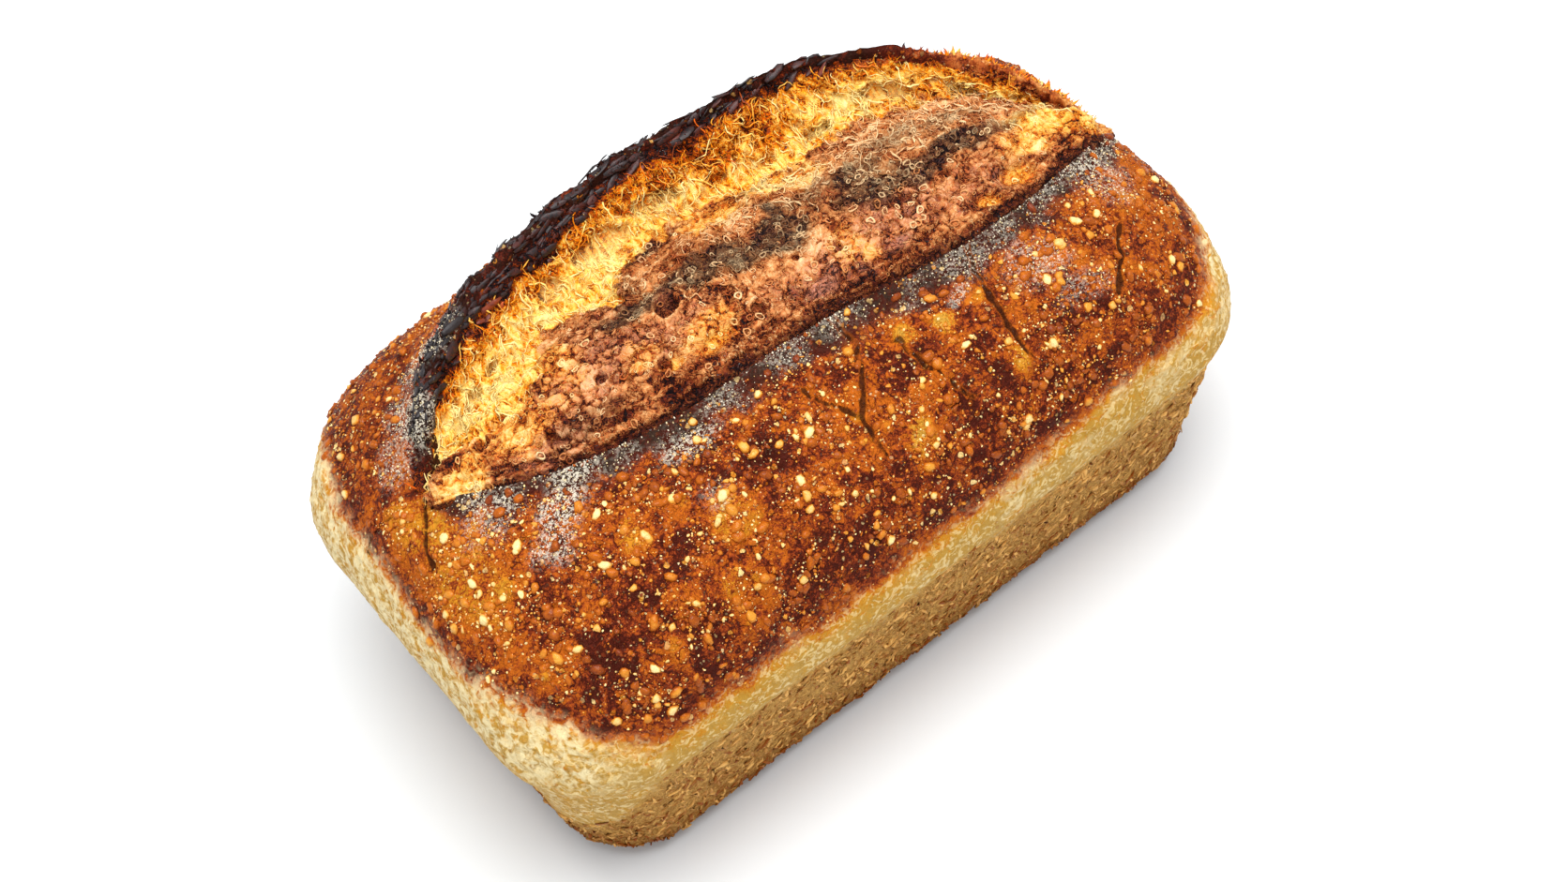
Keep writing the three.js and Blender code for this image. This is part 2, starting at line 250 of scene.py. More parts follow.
def noise(points, size, seed=0):
    """Smooth noise from about -1 to 1; its lumps are about size millimetres wide."""
    q = points / size
    cell = np.floor(q).astype(np.int64)
    f = q - cell
    w = f * f * f * (f * (f * 6 - 15) + 10)
    total = np.zeros(len(points))
    for corner in np.ndindex(2, 2, 2):
        step = np.array(corner)
        share = np.prod(np.where(step == 1, w, 1 - w), axis=1)
        slope = three_numbers(cell + step, seed) * 2 - 1
        total += share * np.sum(slope * (f - step), axis=1)
    return total * 1.7


def warped(points, size, amount, seed):
    """The same points, each moved a little by smooth noise."""
    return points + amount * np.stack([noise(points, size, seed + k) for k in range(3)], axis=1)


def ridges(points, size, seed=0):
    """1 on thin winding ridges and 0 between them."""
    return np.clip(1 - np.abs(noise(points, size, seed)) * 2.2, 0, 1)


def cells(points, size, seed=0):
    """Scattered cells: how far the nearest centre and the next one are, and the nearest one's own number."""
    q = points / size
    cell = np.floor(q).astype(np.int64)
    nearest = np.full(len(points), 9.0)
    second = np.full(len(points), 9.0)
    number = np.zeros(len(points))
    for corner in np.ndindex(3, 3, 3):
        at = cell + np.array(corner) - 1
        gap = np.linalg.norm(q - at - three_numbers(at, seed), axis=1)
        closer = gap < nearest
        second = np.where(closer, nearest, np.minimum(second, gap))
        number = np.where(closer, scramble(at, seed + 99) / (ALL_BITS + 1), number)
        nearest = np.where(closer, gap, nearest)
    return nearest * size, second * size, number


def patches(points, listed, ragged=2.5, seed=60):
    """How strongly each point lies in the listed soft patches, whose edges are ragged."""
    x, y, _ = warped(points, 7, ragged, seed).T
    total = np.zeros(len(points))
    for centre_x, centre_y, along, across, strength in listed:
        gap = np.hypot((x - centre_x) / along, (y - centre_y) / across)
        total = np.maximum(total, strength * smooth(1.25, 0.45, gap))
    return total


def path_gap(points, path, wobble=1.2):
    """How far each point lies from a path, seen from above."""
    flat = warped(points, 4, wobble, 71)[:, :2]
    gap = np.full(len(points), 99.0)
    for start, end in zip(path, path[1:]):
        a, b = np.array(start, float), np.array(end, float)
        t = np.clip((flat - a) @ (b - a) / ((b - a) @ (b - a)), 0, 1)
        gap = np.minimum(gap, np.linalg.norm(flat - a - t[:, None] * (b - a), axis=1))
    return gap


# ---- The bare form: a wall, a dome and the lines of the slash ----
# Seen from above, the lip and the ear's crest run along these lines and meet at the two tips.
lip_y = curve_through(
    [(SLASH_LEFT, 9), (-76, -8), (-44, -19), (0, -21), (55, -27), (92, -21), (SLASH_RIGHT, -9)]
)
ear_y = curve_through(
    [(SLASH_LEFT, 9), (-80, 29), (-52, 42), (-10, 49), (32, 49), (62, 43), (90, 25), (SLASH_RIGHT, -9)]
)
bloom_edge_y = curve_through(BLOOM_EDGE)
burn_reach = curve_through(BURN_REACH)
char_reach = curve_through(CHAR_REACH)

# How high the torn inside stands over the dome, from the lip (0) to the ear's crest (1).
inside_rise = curve_through(
    [
        (-0.02, -6.5), (0.015, -4.8), (0.035, -3.2), (0.11, -0.6), (0.19, 1.5), (0.27, 2.7), (0.35, 3.0),
        (0.43, 2.7), (0.51, 1.2), (0.58, -0.8), (0.65, -4.4), (0.73, -7.2), (0.8, -8.2), (0.865, -5.0),
        (0.92, 2.0), (0.955, 8.0), (0.975, 10.4), (1.0, 11.0),
    ]
)  # fmt: skip


def rounded(u, v, half_length, half_width, corner):
    """A rectangle with round corners, for u and v from -1 to 1."""
    x, y = u * half_length, v * half_width
    dx, dy = np.abs(x) - (half_length - corner), np.abs(y) - (half_width - corner)
    bent = (dx > 0) & (dy > 0)
    pull = np.where(bent, np.maximum(dx, dy) / np.maximum(np.hypot(dx, dy), 1e-9), 1)
    return (
        np.where(bent, np.sign(x) * (half_length - corner + dx * pull), x),
        np.where(bent, np.sign(y) * (half_width - corner + dy * pull), y),
    )


def crowd(t):
    """Even steps of u and v crowd towards the edge, where the crust turns down."""
    return np.sin(t * np.pi / 2)


def plan(u, v):
    return rounded(crowd(u), crowd(v), band_half_length, band_half_width, band_corner)


def dome(x, y):
    """The height of the bare dome: nested rounded rings shrink from the band to the crown."""
    low, high = np.zeros_like(x), np.full_like(x, np.pi / 2)
    for _ in range(HALVINGS):
        angle = (low + high) / 2
        half_length = band_half_length * np.cos(angle) ** END_FULLNESS
        half_width = band_half_width * np.cos(angle) ** SIDE_FULLNESS
        corner = half_width * mix(band_corner / band_half_width, CROWN_ROUNDNESS, np.sin(angle))
        dx = np.maximum(0, np.abs(x) - (half_length - corner))
        dy = np.maximum(0, np.abs(y) - (half_width - corner))
        inside = np.hypot(dx, dy) < corner
        low, high = np.where(inside, angle, low), np.where(inside, high, angle)
    return BAND_HEIGHT + CROWN_RISE * np.sin(low) ** CROWN_FULLNESS


def swell(x, y, z):
    """The loaf isn't even: the sides bow, and the ends and the far shoulder swelled by different amounts."""
    high = smooth(0, BAND_HEIGHT, z)
    along, across = x / band_half_length, y / band_half_width
    y = y + SIDE_BOW * high * (1 - along**2) * np.sign(across) * across**4
    x = x + RIGHT_END_SWELL * smooth(END_STARTS, 1, along) * high
    x = x - LEFT_END_SWELL * smooth(END_STARTS, 1, -along) * high
    y = y + FAR_SWELL * smooth(0, 1, across) * smooth(RIM_HEIGHT, FAR_SWELL_HEIGHT, z)
    return np.stack([x, y, z], axis=-1)


def wall(u, v, level):
    """The wall that the tin shaped: level 0 is the edge of the flat base, and 1 the band's widest ring."""
    foot = np.clip(level / FOOT_SHARE, 0, 1) * np.pi / 2
    up = np.clip((level - FOOT_SHARE) / (RIM_SHARE - FOOT_SHARE), 0, 1)
    over = np.clip((level - RIM_SHARE) / (1 - RIM_SHARE), 0, 1)
    out = WALL_TAPER * up + BAND_SWELL * smooth(0, 1, over) - FOOT_RADIUS * (1 - np.sin(foot))
    z = FOOT_RADIUS * (1 - np.cos(foot)) + (RIM_HEIGHT - FOOT_RADIUS) * up + (BAND_HEIGHT - RIM_HEIGHT) * over
    corner = CORNER_RADIUS + out * CORNER_GROWTH
    x, y = rounded(crowd(u), crowd(v), BASE_LENGTH / 2 + out, BASE_WIDTH / 2 + out, corner)
    return swell(x, y, z + 0 * x)


def slash_strength(x):
    """1 in the middle of the slash and 0 at its two tips."""
    t = (2 * x - SLASH_LEFT - SLASH_RIGHT) / (SLASH_RIGHT - SLASH_LEFT)
    return np.sqrt(np.maximum(0, 1 - t * t))


def ear_strength(x):
    wave = noise(np.stack([x / EAR_WAVE, 0 * x, 0 * x + 3], axis=-1).reshape(-1, 3), 1, 5).reshape(x.shape)
    return slash_strength(x) ** EAR_TIP_EASE * (1 + EAR_UNEVENNESS * wave)


def far_edge_y(x):
    """The far edge of the slash's rows. Past the tips the rows spread again over the whole crust."""
    past = np.maximum(0, np.maximum(SLASH_LEFT - x, x - SLASH_RIGHT))
    return np.maximum(ear_y(x), lip_y(x) + TIP_GAP + ROW_SPREAD * past)


def crossing(u, target):
    """The v at which column u crosses the line y = target(x), seen from above."""
    low, high = -np.ones_like(u), np.ones_like(u)
    for _ in range(HALVINGS):
        v = (low + high) / 2
        x, y = plan(u, v)
        below = y < target(x)
        low, high = np.where(below, v, low), np.where(below, high, v)
    return (low + high) / 2


# ---- Making meshes ----
def make_mesh(name, points, faces, material=None):
    """One smooth-shaded mesh from points in millimetres and arrays of faces, each of 3 or more corners."""
    mesh = bpy.data.meshes.new(name)
    sizes = np.concatenate([np.full(len(f), f.shape[1]) for f in faces])
    corners = np.concatenate([f.ravel() for f in faces])
    mesh.vertices.add(len(points))
    mesh.vertices.foreach_set("co", (points * MM).astype(np.float32).ravel())
    mesh.loops.add(len(corners))
    mesh.loops.foreach_set("vertex_index", corners.astype(np.int32))
    mesh.polygons.add(len(sizes))
    starts = np.concatenate([[0], np.cumsum(sizes)[:-1]])
    mesh.polygons.foreach_set("loop_start", starts.astype(np.int32))
    mesh.update(calc_edges=True)
    mesh.validate()
    mesh.shade_smooth()
    if material:
        mesh.materials.append(material)
    return mesh


def place(name, mesh):
    piece = bpy.data.objects.new(name, mesh)
    bpy.context.collection.objects.link(piece)
    return piece


def finish_piece(piece, replaces=None):
    if replaces:
        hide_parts(replaces)
    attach(piece, BODY)


def displace(mesh, points, relief):
    """Move each vertex along its normal by relief millimetres."""
    normals = np.zeros(len(points) * 3, np.float32)
    mesh.vertex_normals.foreach_get("vector", normals)
    moved = points + normals.reshape(-1, 3) * relief[:, None]
    mesh.vertices.foreach_set("co", (moved * MM).astype(np.float32).ravel())
    mesh.update()


def store(mesh, name, values):
    attribute = mesh.attributes.new(name, "FLOAT", "POINT")
    attribute.data.foreach_set("value", np.asarray(values, np.float32))


def grid_faces(ids):
    return np.stack([ids[:-1, :-1], ids[1:, :-1], ids[1:, 1:], ids[:-1, 1:]], axis=-1).reshape(-1, 4)


def ring_faces(upper, lower):
    return np.stack([lower, np.roll(lower, -1), np.roll(upper, -1), upper], axis=-1)


def zip_faces(upper, lower):
    """Triangles between two open rows of different counts."""
    ends = np.round(np.linspace(0, len(lower) - 1, len(upper))).astype(int)
    hanging = np.stack([lower[ends[:-1]], upper[1:], upper[:-1]], axis=-1)
    steps = np.flatnonzero(np.diff(ends))
    standing = np.stack([lower[ends[steps]], lower[ends[steps + 1]], upper[steps + 1]], axis=-1)
    return np.concatenate([hanging, standing])


# ---- The crust ----
# Below the torn inside the crust only tucks under: first round the lip, then a floor, then up the ear.
LIP_TUCK = [(0, 0), (0.5, -0.5), (0.8, -2.2), (1.4, -5.5)]
FLOOR = [0.15, 0.35, 0.55, 0.72, 0.84]
FLOOR_DROP = 8
EAR_TUCK = [(-4.2, -26), (-2.6, -15), (-2.4, -6), (-2.1, -2.2), (-1.3, -0.5), (0, 0)]
TUCK_WIDTH = (4, 16)


def slash_rows(x):
    """For each row of the slash, its share of the way from lip to ear at x, and its rise over the dome."""
    width = far_edge_y(x) - lip_y(x)
    full = smooth(*TUCK_WIDTH, width)
    strength, ear = slash_strength(x), ear_strength(x)
    wanted = [(dy / width, (LIP_RISE + dz) * strength) for dy, dz in LIP_TUCK]
    wanted += [(q + 0 * x, (inside_rise(q) - FLOOR_DROP) * strength) for q in FLOOR]
    wanted += [(1 + dy / width, (EAR_RISE + dz) * ear) for dy, dz in EAR_TUCK]
    even = np.linspace(0, 1, len(wanted))
    return [(mix(share, q, full), rise) for share, (q, rise) in zip(even, wanted)]


NEAR, TUCKED, EAR_FACE, FAR, WALL = range(5)
EAR_FACE_ROWS = 4
# What the wall's points hold for their gap to the slash, and for their place along it.
NO_SLASH_NEAR = 200.0
PAST_THE_TIPS = 999.0


def crust_surface():
    """The crust's points and faces, and for each point how far the lip and the crest are, and its region."""
    slash_count = len(LIP_TUCK) + len(FLOOR) + len(EAR_TUCK)
    row_count = NEAR_ROWS + slash_count + FAR_ROWS
    u = np.linspace(-1, 1, COLUMNS + 1)
    tip = np.where(u < 0, -SLASH_LEFT, SLASH_RIGHT)
    tip_u = np.arcsin(tip / band_half_length) * 2 / np.pi
    follow = 1 - smooth(tip_u, 1, np.abs(u))
    lip_v, ear_v = crossing(u, lip_y), crossing(u, far_edge_y)

    v = np.zeros((COLUMNS + 1, row_count))
    near = np.linspace(0, 1, NEAR_ROWS + 1)[:-1]
    v[:, :NEAR_ROWS] = mix(-1, lip_v[:, None], near[None, :])
    for k in range(slash_count):
        target = lambda x: mix(lip_y(x), far_edge_y(x), slash_rows(x)[k][0])
        v[:, NEAR_ROWS + k] = crossing(u, target)
    far = np.linspace(0, 1, FAR_ROWS + 1)[1:]
    v[:, NEAR_ROWS + slash_count :] = mix(ear_v[:, None], 1, far[None, :])
    even = np.linspace(-1, 1, row_count)
    v = mix(even[None, :], v, follow[:, None])
    u = np.repeat(u[:, None], row_count, axis=1)

    x, y = plan(u, v)
    z = dome(x, y)
    strength, ear = slash_strength(x), ear_strength(x)
    lean = np.zeros_like(y)
    near_lip = np.clip(1 - (lip_y(x) - y) / LIP_WIDTH, 0, 1) * strength * LIP_RISE
    z[:, :NEAR_ROWS] += near_lip[:, :NEAR_ROWS]
    for k in range(slash_count):
        j = NEAR_ROWS + k
        q, rise = slash_rows(x[:, j])[k]
        z[:, j] += rise
        lean[:, j] = EAR_LEAN * ear[:, j] * smooth(0.9, 1, q)
    beyond = np.clip(1 - (y - ear_y(x)) / EAR_ROOT, 0, 1)
    far_part = slice(NEAR_ROWS + slash_count, None)
    z[:, far_part] += (EAR_RISE * ear * beyond**EAR_ROOT_CURVE)[:, far_part]
    lean[:, far_part] = (EAR_LEAN * ear * beyond)[:, far_part]
    top = swell(x, y + lean, z)

    ids = np.arange(x.size).reshape(x.shape)
    edge = np.concatenate([ids[:-1, 0], ids[-1, :-1], ids[:0:-1, -1], ids[0, :0:-1]])
    edge_u, edge_v = u.ravel()[edge], v.ravel()[edge]
    levels = np.concatenate(
        [
            np.linspace(0, FOOT_SHARE, FOOT_RINGS, endpoint=False),
            np.linspace(FOOT_SHARE, RIM_SHARE, WALL_RINGS, endpoint=False),
            np.linspace(RIM_SHARE, 1, SWELL_RINGS, endpoint=False),
        ]
    )[::-1]
    rings = [wall(edge_u, edge_v, level) for level in levels]
    points = np.concatenate([top.reshape(-1, 3), *rings, np.zeros((1, 3))])

    faces = [grid_faces(ids)]
    upper = edge
    for k in range(len(rings)):
        lower = ids.size + k * len(edge) + np.arange(len(edge))
        faces.append(ring_faces(upper, lower))
        upper = lower
    middle = np.full(len(upper), len(points) - 1)
    faces.append(np.stack([middle, np.roll(upper, -1), upper], axis=-1))

    steps = np.linalg.norm(np.diff(top, axis=1), axis=2)
    along = np.concatenate([np.zeros((COLUMNS + 1, 1)), np.cumsum(steps, axis=1)], axis=1)
    lip_row, crest_row = NEAR_ROWS, NEAR_ROWS + slash_count - 1
    rest = len(points) - ids.size
    lip_gap = np.concatenate([(along[:, [lip_row]] - along).ravel(), np.full(rest, NO_SLASH_NEAR)])
    crest_gap = np.concatenate([(along - along[:, [crest_row]]).ravel(), np.full(rest, NO_SLASH_NEAR)])
    row = np.arange(row_count)
    region = np.where(row <= lip_row, NEAR, np.where(row <= crest_row - EAR_FACE_ROWS, TUCKED, EAR_FACE))
    region = np.where(row >= crest_row, FAR, region)
    region = np.concatenate([np.repeat(region[None, :], COLUMNS + 1, axis=0).ravel(), np.full(rest, WALL)])
    plan_x = np.concatenate([x.ravel(), np.full(rest, PAST_THE_TIPS)])
    return points, faces, lip_gap, crest_gap, region, plan_x


# ---- Node helpers ----
def socket_named(sockets, name):
    """A node's socket by place or by name; of several with that name, the one in use."""
    if isinstance(name, int):
        return sockets[name]
    return next(s for s in sockets if s.name == name and s.enabled)


def add(tree, kind, inputs=None, **settings):
    """A node with its settings, its inputs set to values or linked to sockets."""
    node = tree.nodes.new(kind)
    for name, value in settings.items():
        setattr(node, name, value)
    for name, value in (inputs or {}).items():
        socket = socket_named(node.inputs, name)
        if isinstance(value, bpy.types.NodeSocket):
            tree.links.new(value, socket)
        else:
            socket.default_value = value
    return node


def calc(tree, operation, a, b=0.0, clamp=False):
    return add(tree, "ShaderNodeMath", {0: a, 1: b}, operation=operation, use_clamp=clamp).outputs[0]


def span(tree, value, low, high, to_low=0.0, to_high=1.0):
    """value, taken smoothly from low..high to to_low..to_high."""
    inputs = {"Value": value, "From Min": low, "From Max": high, "To Min": to_low, "To Max": to_high}
    return add(tree, "ShaderNodeMapRange", inputs, interpolation_type="SMOOTHSTEP").outputs["Result"]


def blend(tree, factor, a, b):
    node = add(tree, "ShaderNodeMix", {"Factor": factor, "A": a, "B": b}, data_type="RGBA")
    return socket_named(node.outputs, "Result")


def read(tree, name):
    return add(tree, "ShaderNodeAttribute", attribute_name=name).outputs["Fac"]


def mottle(tree, where, size, detail=3.0, warp=0.0, rough=0.5):
    """Noise from 0 to 1 whose lumps are about size millimetres wide."""
    inputs = {
        "Vector": where, "Scale": 1 / (size * MM), "Detail": detail, "Distortion": warp, "Roughness": rough,
    }  # fmt: skip
    return add(tree, "ShaderNodeTexNoise", inputs).outputs["Fac"]


def srgb(red, green, blue):
    """A colour given in the usual 0 to 255 steps, as Blender's linear values."""
    steps = (red, green, blue)
    return tuple(((c / 255 + 0.055) / 1.055) ** 2.4 if c > 10 else c / 255 / 12.92 for c in steps)


def shade(colour):
    return (*colour, 1.0)


def group(name, inputs, outputs):
    """A new shader node group with named sockets: its tree and the sockets inside it."""
    tree = bpy.data.node_groups.new(name, "ShaderNodeTree")
    for label, kind, value in inputs:
        socket = tree.interface.new_socket(label, in_out="INPUT", socket_type=kind)
        if value is not None:
            socket.default_value = value
    for label, kind in outputs:
        tree.interface.new_socket(label, in_out="OUTPUT", socket_type=kind)
    return tree, tree.nodes.new("NodeGroupInput").outputs, tree.nodes.new("NodeGroupOutput").inputs


def use(tree, name, inputs):
    return add(tree, "ShaderNodeGroup", inputs, node_tree=bpy.data.node_groups[name]).outputs


# ---- Shared shader groups ----
def colour_scale(name, stops):
    """A group that turns a level from 0 to 1 into a colour."""
    tree, source, result = group(name, [("Level", "NodeSocketFloat", 0.5)], [("Color", "NodeSocketColor")])
    ramp = tree.nodes.new("ShaderNodeValToRGB")
    elements = ramp.color_ramp.elements
    while len(elements) < len(stops):
        elements.new(0.5)
    for element, (level, colour) in zip(elements, stops):
        element.position, element.color = level, shade(colour)
    tree.links.new(source["Level"], ramp.inputs["Fac"])
    tree.links.new(ramp.outputs["Color"], result["Color"])


def bead_group():
    """Round beads of uneven size: where they are, where their edges are, and each one's own number."""
    inputs = [
        ("Vector", "NodeSocketVector", None), ("Size", "NodeSocketFloat", 1.5),
        ("Share", "NodeSocketFloat", 0.6),
    ]  # fmt: skip
    outputs = [("Bead", "NodeSocketFloat"), ("Edge", "NodeSocketFloat"), ("Lot", "NodeSocketFloat")]
    tree, source, result = group("Beads", inputs, outputs)
    per_metre = calc(tree, "DIVIDE", 1 / MM, source["Size"])
    settings = {"Vector": source["Vector"], "Scale": per_metre, "Detail": 2.0}
    wobble = add(tree, "ShaderNodeTexNoise", settings).outputs["Color"]
    middle = {0: wobble, 1: (0.5, 0.5, 0.5)}
    centred = add(tree, "ShaderNodeVectorMath", middle, operation="SUBTRACT").outputs[0]
    reach = calc(tree, "MULTIPLY", source["Size"], 0.9 * MM)
    shift = add(tree, "ShaderNodeVectorMath", {0: centred, "Scale": reach}, operation="SCALE").outputs[0]
    where = add(tree, "ShaderNodeVectorMath", {0: source["Vector"], 1: shift}, operation="ADD").outputs[0]
    dots = add(tree, "ShaderNodeTexVoronoi", {"Vector": where, "Scale": per_metre}).outputs
    lot = add(tree, "ShaderNodeSeparateColor", {"Color": dots["Color"]}).outputs
    none = calc(tree, "SUBTRACT", 1.0, source["Share"])
    limits = {"Value": lot["Red"], "From Min": none, "From Max": 1.0, "To Min": 0.0, "To Max": 0.5}
    radius = add(tree, "ShaderNodeMapRange", limits).outputs["Result"]
    depth = calc(tree, "SUBTRACT", radius, dots["Distance"])
    tree.links.new(span(tree, depth, 0.0, 0.1), result["Bead"])
    ring = calc(tree, "MULTIPLY", span(tree, depth, -0.14, -0.02), span(tree, depth, 0.06, 0.0))
    tree.links.new(calc(tree, "MULTIPLY", ring, span(tree, radius, 0.02, 0.1)), result["Edge"])
    tree.links.new(lot["Green"], result["Lot"])


def wrinkle_group():
    """Thin winding folds, 1 on the fold and 0 between."""
    inputs = [
        ("Vector", "NodeSocketVector", None), ("Size", "NodeSocketFloat", 1.5),
        ("Width", "NodeSocketFloat", 0.15),
    ]  # fmt: skip
    tree, source, result = group("Wrinkles", inputs, [("Fold", "NodeSocketFloat")])
    settings = {
        "Vector": source["Vector"], "Scale": calc(tree, "DIVIDE", 1 / MM, source["Size"]), "Detail": 3.0,
        "Distortion": 1.2, "Roughness": 0.55,
    }  # fmt: skip
    height = add(tree, "ShaderNodeTexNoise", settings).outputs["Fac"]
    away = calc(tree, "ABSOLUTE", calc(tree, "SUBTRACT", height, 0.5))
    fold = calc(tree, "SUBTRACT", 1.0, calc(tree, "DIVIDE", away, source["Width"]), True)
    tree.links.new(fold, result["Fold"])


def surface(name, roughness, specular=0.5, coat=0.0, coat_roughness=0.3):
    """A new material: its tree, its shader and its Object coordinates."""
    material = bpy.data.materials.new(name)
    material.use_nodes = True
    tree = material.node_tree
    shader = tree.nodes["Principled BSDF"]
    shader.inputs["Roughness"].default_value = roughness
    shader.inputs["Specular IOR Level"].default_value = specular
    shader.inputs["Coat Weight"].default_value = coat
    shader.inputs["Coat Roughness"].default_value = coat_roughness
    where = add(tree, "ShaderNodeTexCoord").outputs["Object"]
    return material, tree, shader, where


def bump(tree, shader, height, depth):
    """depth is the height's full range in millimetres."""
    node = add(tree, "ShaderNodeBump", {"Height": height, "Strength": 1.0, "Distance": depth * MM})
    tree.links.new(node.outputs["Normal"], shader.inputs["Normal"])


def weigh(tree, *parts):
    """The sum of values, each given with its weight."""
    total = None
    for value, weight in parts:
        scaled = calc(tree, "MULTIPLY", value, weight)
        total = scaled if total is None else calc(tree, "ADD", total, scaled)
    return total


def torn_colour(tree, level):
    """The golden scale in the valley and under the ear, and the brown one on the bloom's skin."""
    golden = use(tree, "Torn colour", {"Level": level})["Color"]
    brown = use(tree, "Bloom colour", {"Level": level})["Color"]
    return blend(tree, read(tree, "skin"), golden, brown)


def wall_finish(tree, where, colours):
    """The tin-shaped wall: its colour and the relief of its worm-like flakes."""
    worm = use(tree, "Wrinkles", {"Vector": where, "Size": 2.6, "Width": 0.1})["Fold"]
    thread = use(tree, "Wrinkles", {"Vector": where, "Size": 1.2, "Width": 0.12})["Fold"]
    shadow = span(tree, mottle(tree, where, 9, 3, 0.5), 0.35, 0.65)
    tone = weigh(tree, (worm, 0.6), (thread, 0.3), (shadow, 0.15), (read(tree, "height"), 0.3))
    colour = blend(tree, tone, shade(colours.wall_dark), shade(colours.wall_pale))
    colour = blend(tree, read(tree, "foot"), colour, shade(colours.foot))
    return colour, weigh(tree, (worm, 1.0), (thread, 0.5))


def crust_material(colours):
    """The crust: baked and mottled on top, pale on the band, straw-coloured on the wall."""
    material, tree, shader, where = surface("Crust", 0.5, 0.03, 0.0, 0.15)
    bake, lively = read(tree, "bake"), read(tree, "lively")
    broad = calc(tree, "SUBTRACT", mottle(tree, where, 7, 4, 1.0, 0.55), 0.5)
    medium = calc(tree, "SUBTRACT", mottle(tree, where, 3.6, 3, 1.4, 0.55), 0.5)
    fine = calc(tree, "SUBTRACT", mottle(tree, where, 1.5, 4, 1.8, 0.65), 0.5)
    fold = use(tree, "Wrinkles", {"Vector": where, "Size": 2.0, "Width": 0.05})["Fold"]
    small = use(tree, "Beads", {"Vector": where, "Size": 1.9, "Share": 0.55})
    large = use(tree, "Beads", {"Vector": where, "Size": 4.2, "Share": 0.45})
    # Glint dots: painted highlights, mixed into the base colour further down.
    glint = use(tree, "Beads", {"Vector": where, "Size": 0.9, "Share": 0.3})
    wobble = weigh(
        tree, (broad, 1.45), (fine, 1.5), (fold, 0.16), (small["Bead"], -0.12), (small["Edge"], 0.2),
        (large["Bead"], -0.2), (large["Edge"], 0.18), (medium, 0.9),
    )  # fmt: skip
    level = calc(tree, "ADD", bake, calc(tree, "MULTIPLY", wobble, lively), True)
    level = calc(tree, "MINIMUM", level, calc(tree, "MAXIMUM", bake, 0.9))
    level = calc(tree, "MAXIMUM", level, calc(tree, "MINIMUM", bake, 0.42))
    colour = use(tree, "Crust colour", {"Level": level})["Color"]
    singed = use(tree, "Bloom colour", {"Level": level})["Color"]
    colour = blend(tree, read(tree, "skin"), colour, singed)
    uneven = calc(tree, "ADD", fine, medium)
    ashy = calc(tree, "MULTIPLY", read(tree, "soot"), span(tree, uneven, 0.15, -0.12))
    colour = blend(tree, ashy, colour, shade(colours.ash))
    clusters = span(tree, mottle(tree, where, 8, 3, 0.5), 0.42, 0.6, 0.3, 1.0)
    clustered = calc(tree, "MULTIPLY", clusters, lively)
    bead_level = span(tree, calc(tree, "ADD", small["Lot"], fine), 0.0, 1.0, 0.85, 0.05)
    bead_colour = use(tree, "Bead colour", {"Level": bead_level})["Color"]
    colour = blend(tree, calc(tree, "MULTIPLY", small["Bead"], clustered), colour, bead_colour)
    # Painted highlights: the glint dots and the peaks of the fine noise, mixed toward the bead colour where
    # beads cluster.
    pale_glint = calc(tree, "MULTIPLY", glint["Bead"], span(tree, glint["Lot"], 0.2, 0.9))
    pale = weigh(tree, (pale_glint, 0.9), (span(tree, fine, 0.1, 0.28), 0.25))
    painted_glints = calc(tree, "MULTIPLY", pale, clustered, True)
    colour = blend(tree, painted_glints, colour, shade(colours.bead))

    wall_colour, rind = wall_finish(tree, where, colours)
    is_wall = read(tree, "wall")
    colour = blend(tree, is_wall, colour, wall_colour)
    # The band's glossy streaks: real gloss from the coat further down, and painted sheen, as a paler bead
    # colour in the base colour.
    streak_lines = span(tree, mottle(tree, where, 2.5, 3, 1.5), 0.5, 0.62)
    sheen_streaks = calc(tree, "MULTIPLY", read(tree, "streaky"), streak_lines)
    colour = blend(tree, calc(tree, "MULTIPLY", sheen_streaks, 0.5), colour, shade(colours.bead))
    milky = calc(tree, "MULTIPLY", read(tree, "milky"), span(tree, mottle(tree, where, 3, 4, 1), 0.38, 0.62))
    colour = blend(tree, milky, colour, shade(colours.milk))

    split = read(tree, "crack")
    crack = span(tree, split, 0.4, 0.8, 0.85, 0.0)
    crack_edge = calc(tree, "MULTIPLY", span(tree, split, 1.3, 0.8), 0.3)
    colour = blend(tree, crack_edge, colour, shade(colours.toffee))
    colour = blend(tree, crack, colour, shade(colours.char))
    grains = span(tree, mottle(tree, where, 0.9, 3, 0.5, 0.7), 0.47, 0.58)
    dust = calc(tree, "MULTIPLY", read(tree, "flour"), grains)
    colour = blend(tree, dust, colour, shade(colours.flour))
    tree.links.new(colour, shader.inputs["Base Color"])
    rough = weigh(tree, (span(tree, level, 0.2, 0.8, 0.6, 0.4), 1.0), (dust, 0.4), (is_wall, 0.1))
    tree.links.new(rough, shader.inputs["Roughness"])
    glossy = calc(tree, "MULTIPLY", calc(tree, "MAXIMUM", painted_glints, span(tree, fine, 0.14, 0.3)), lively)
    shine = calc(tree, "ADD", glossy, calc(tree, "MULTIPLY", sheen_streaks, 0.4), True)
    tree.links.new(shine, shader.inputs["Coat Weight"])
    skin = weigh(tree, (fold, 0.35), (small["Bead"], 0.6), (large["Bead"], 0.9), (fine, 1.0), (crack, -0.8))
    height = calc(tree, "ADD", calc(tree, "MULTIPLY", skin, lively), calc(tree, "MULTIPLY", rind, is_wall))
    bump(tree, shader, height, 0.55)
    return material


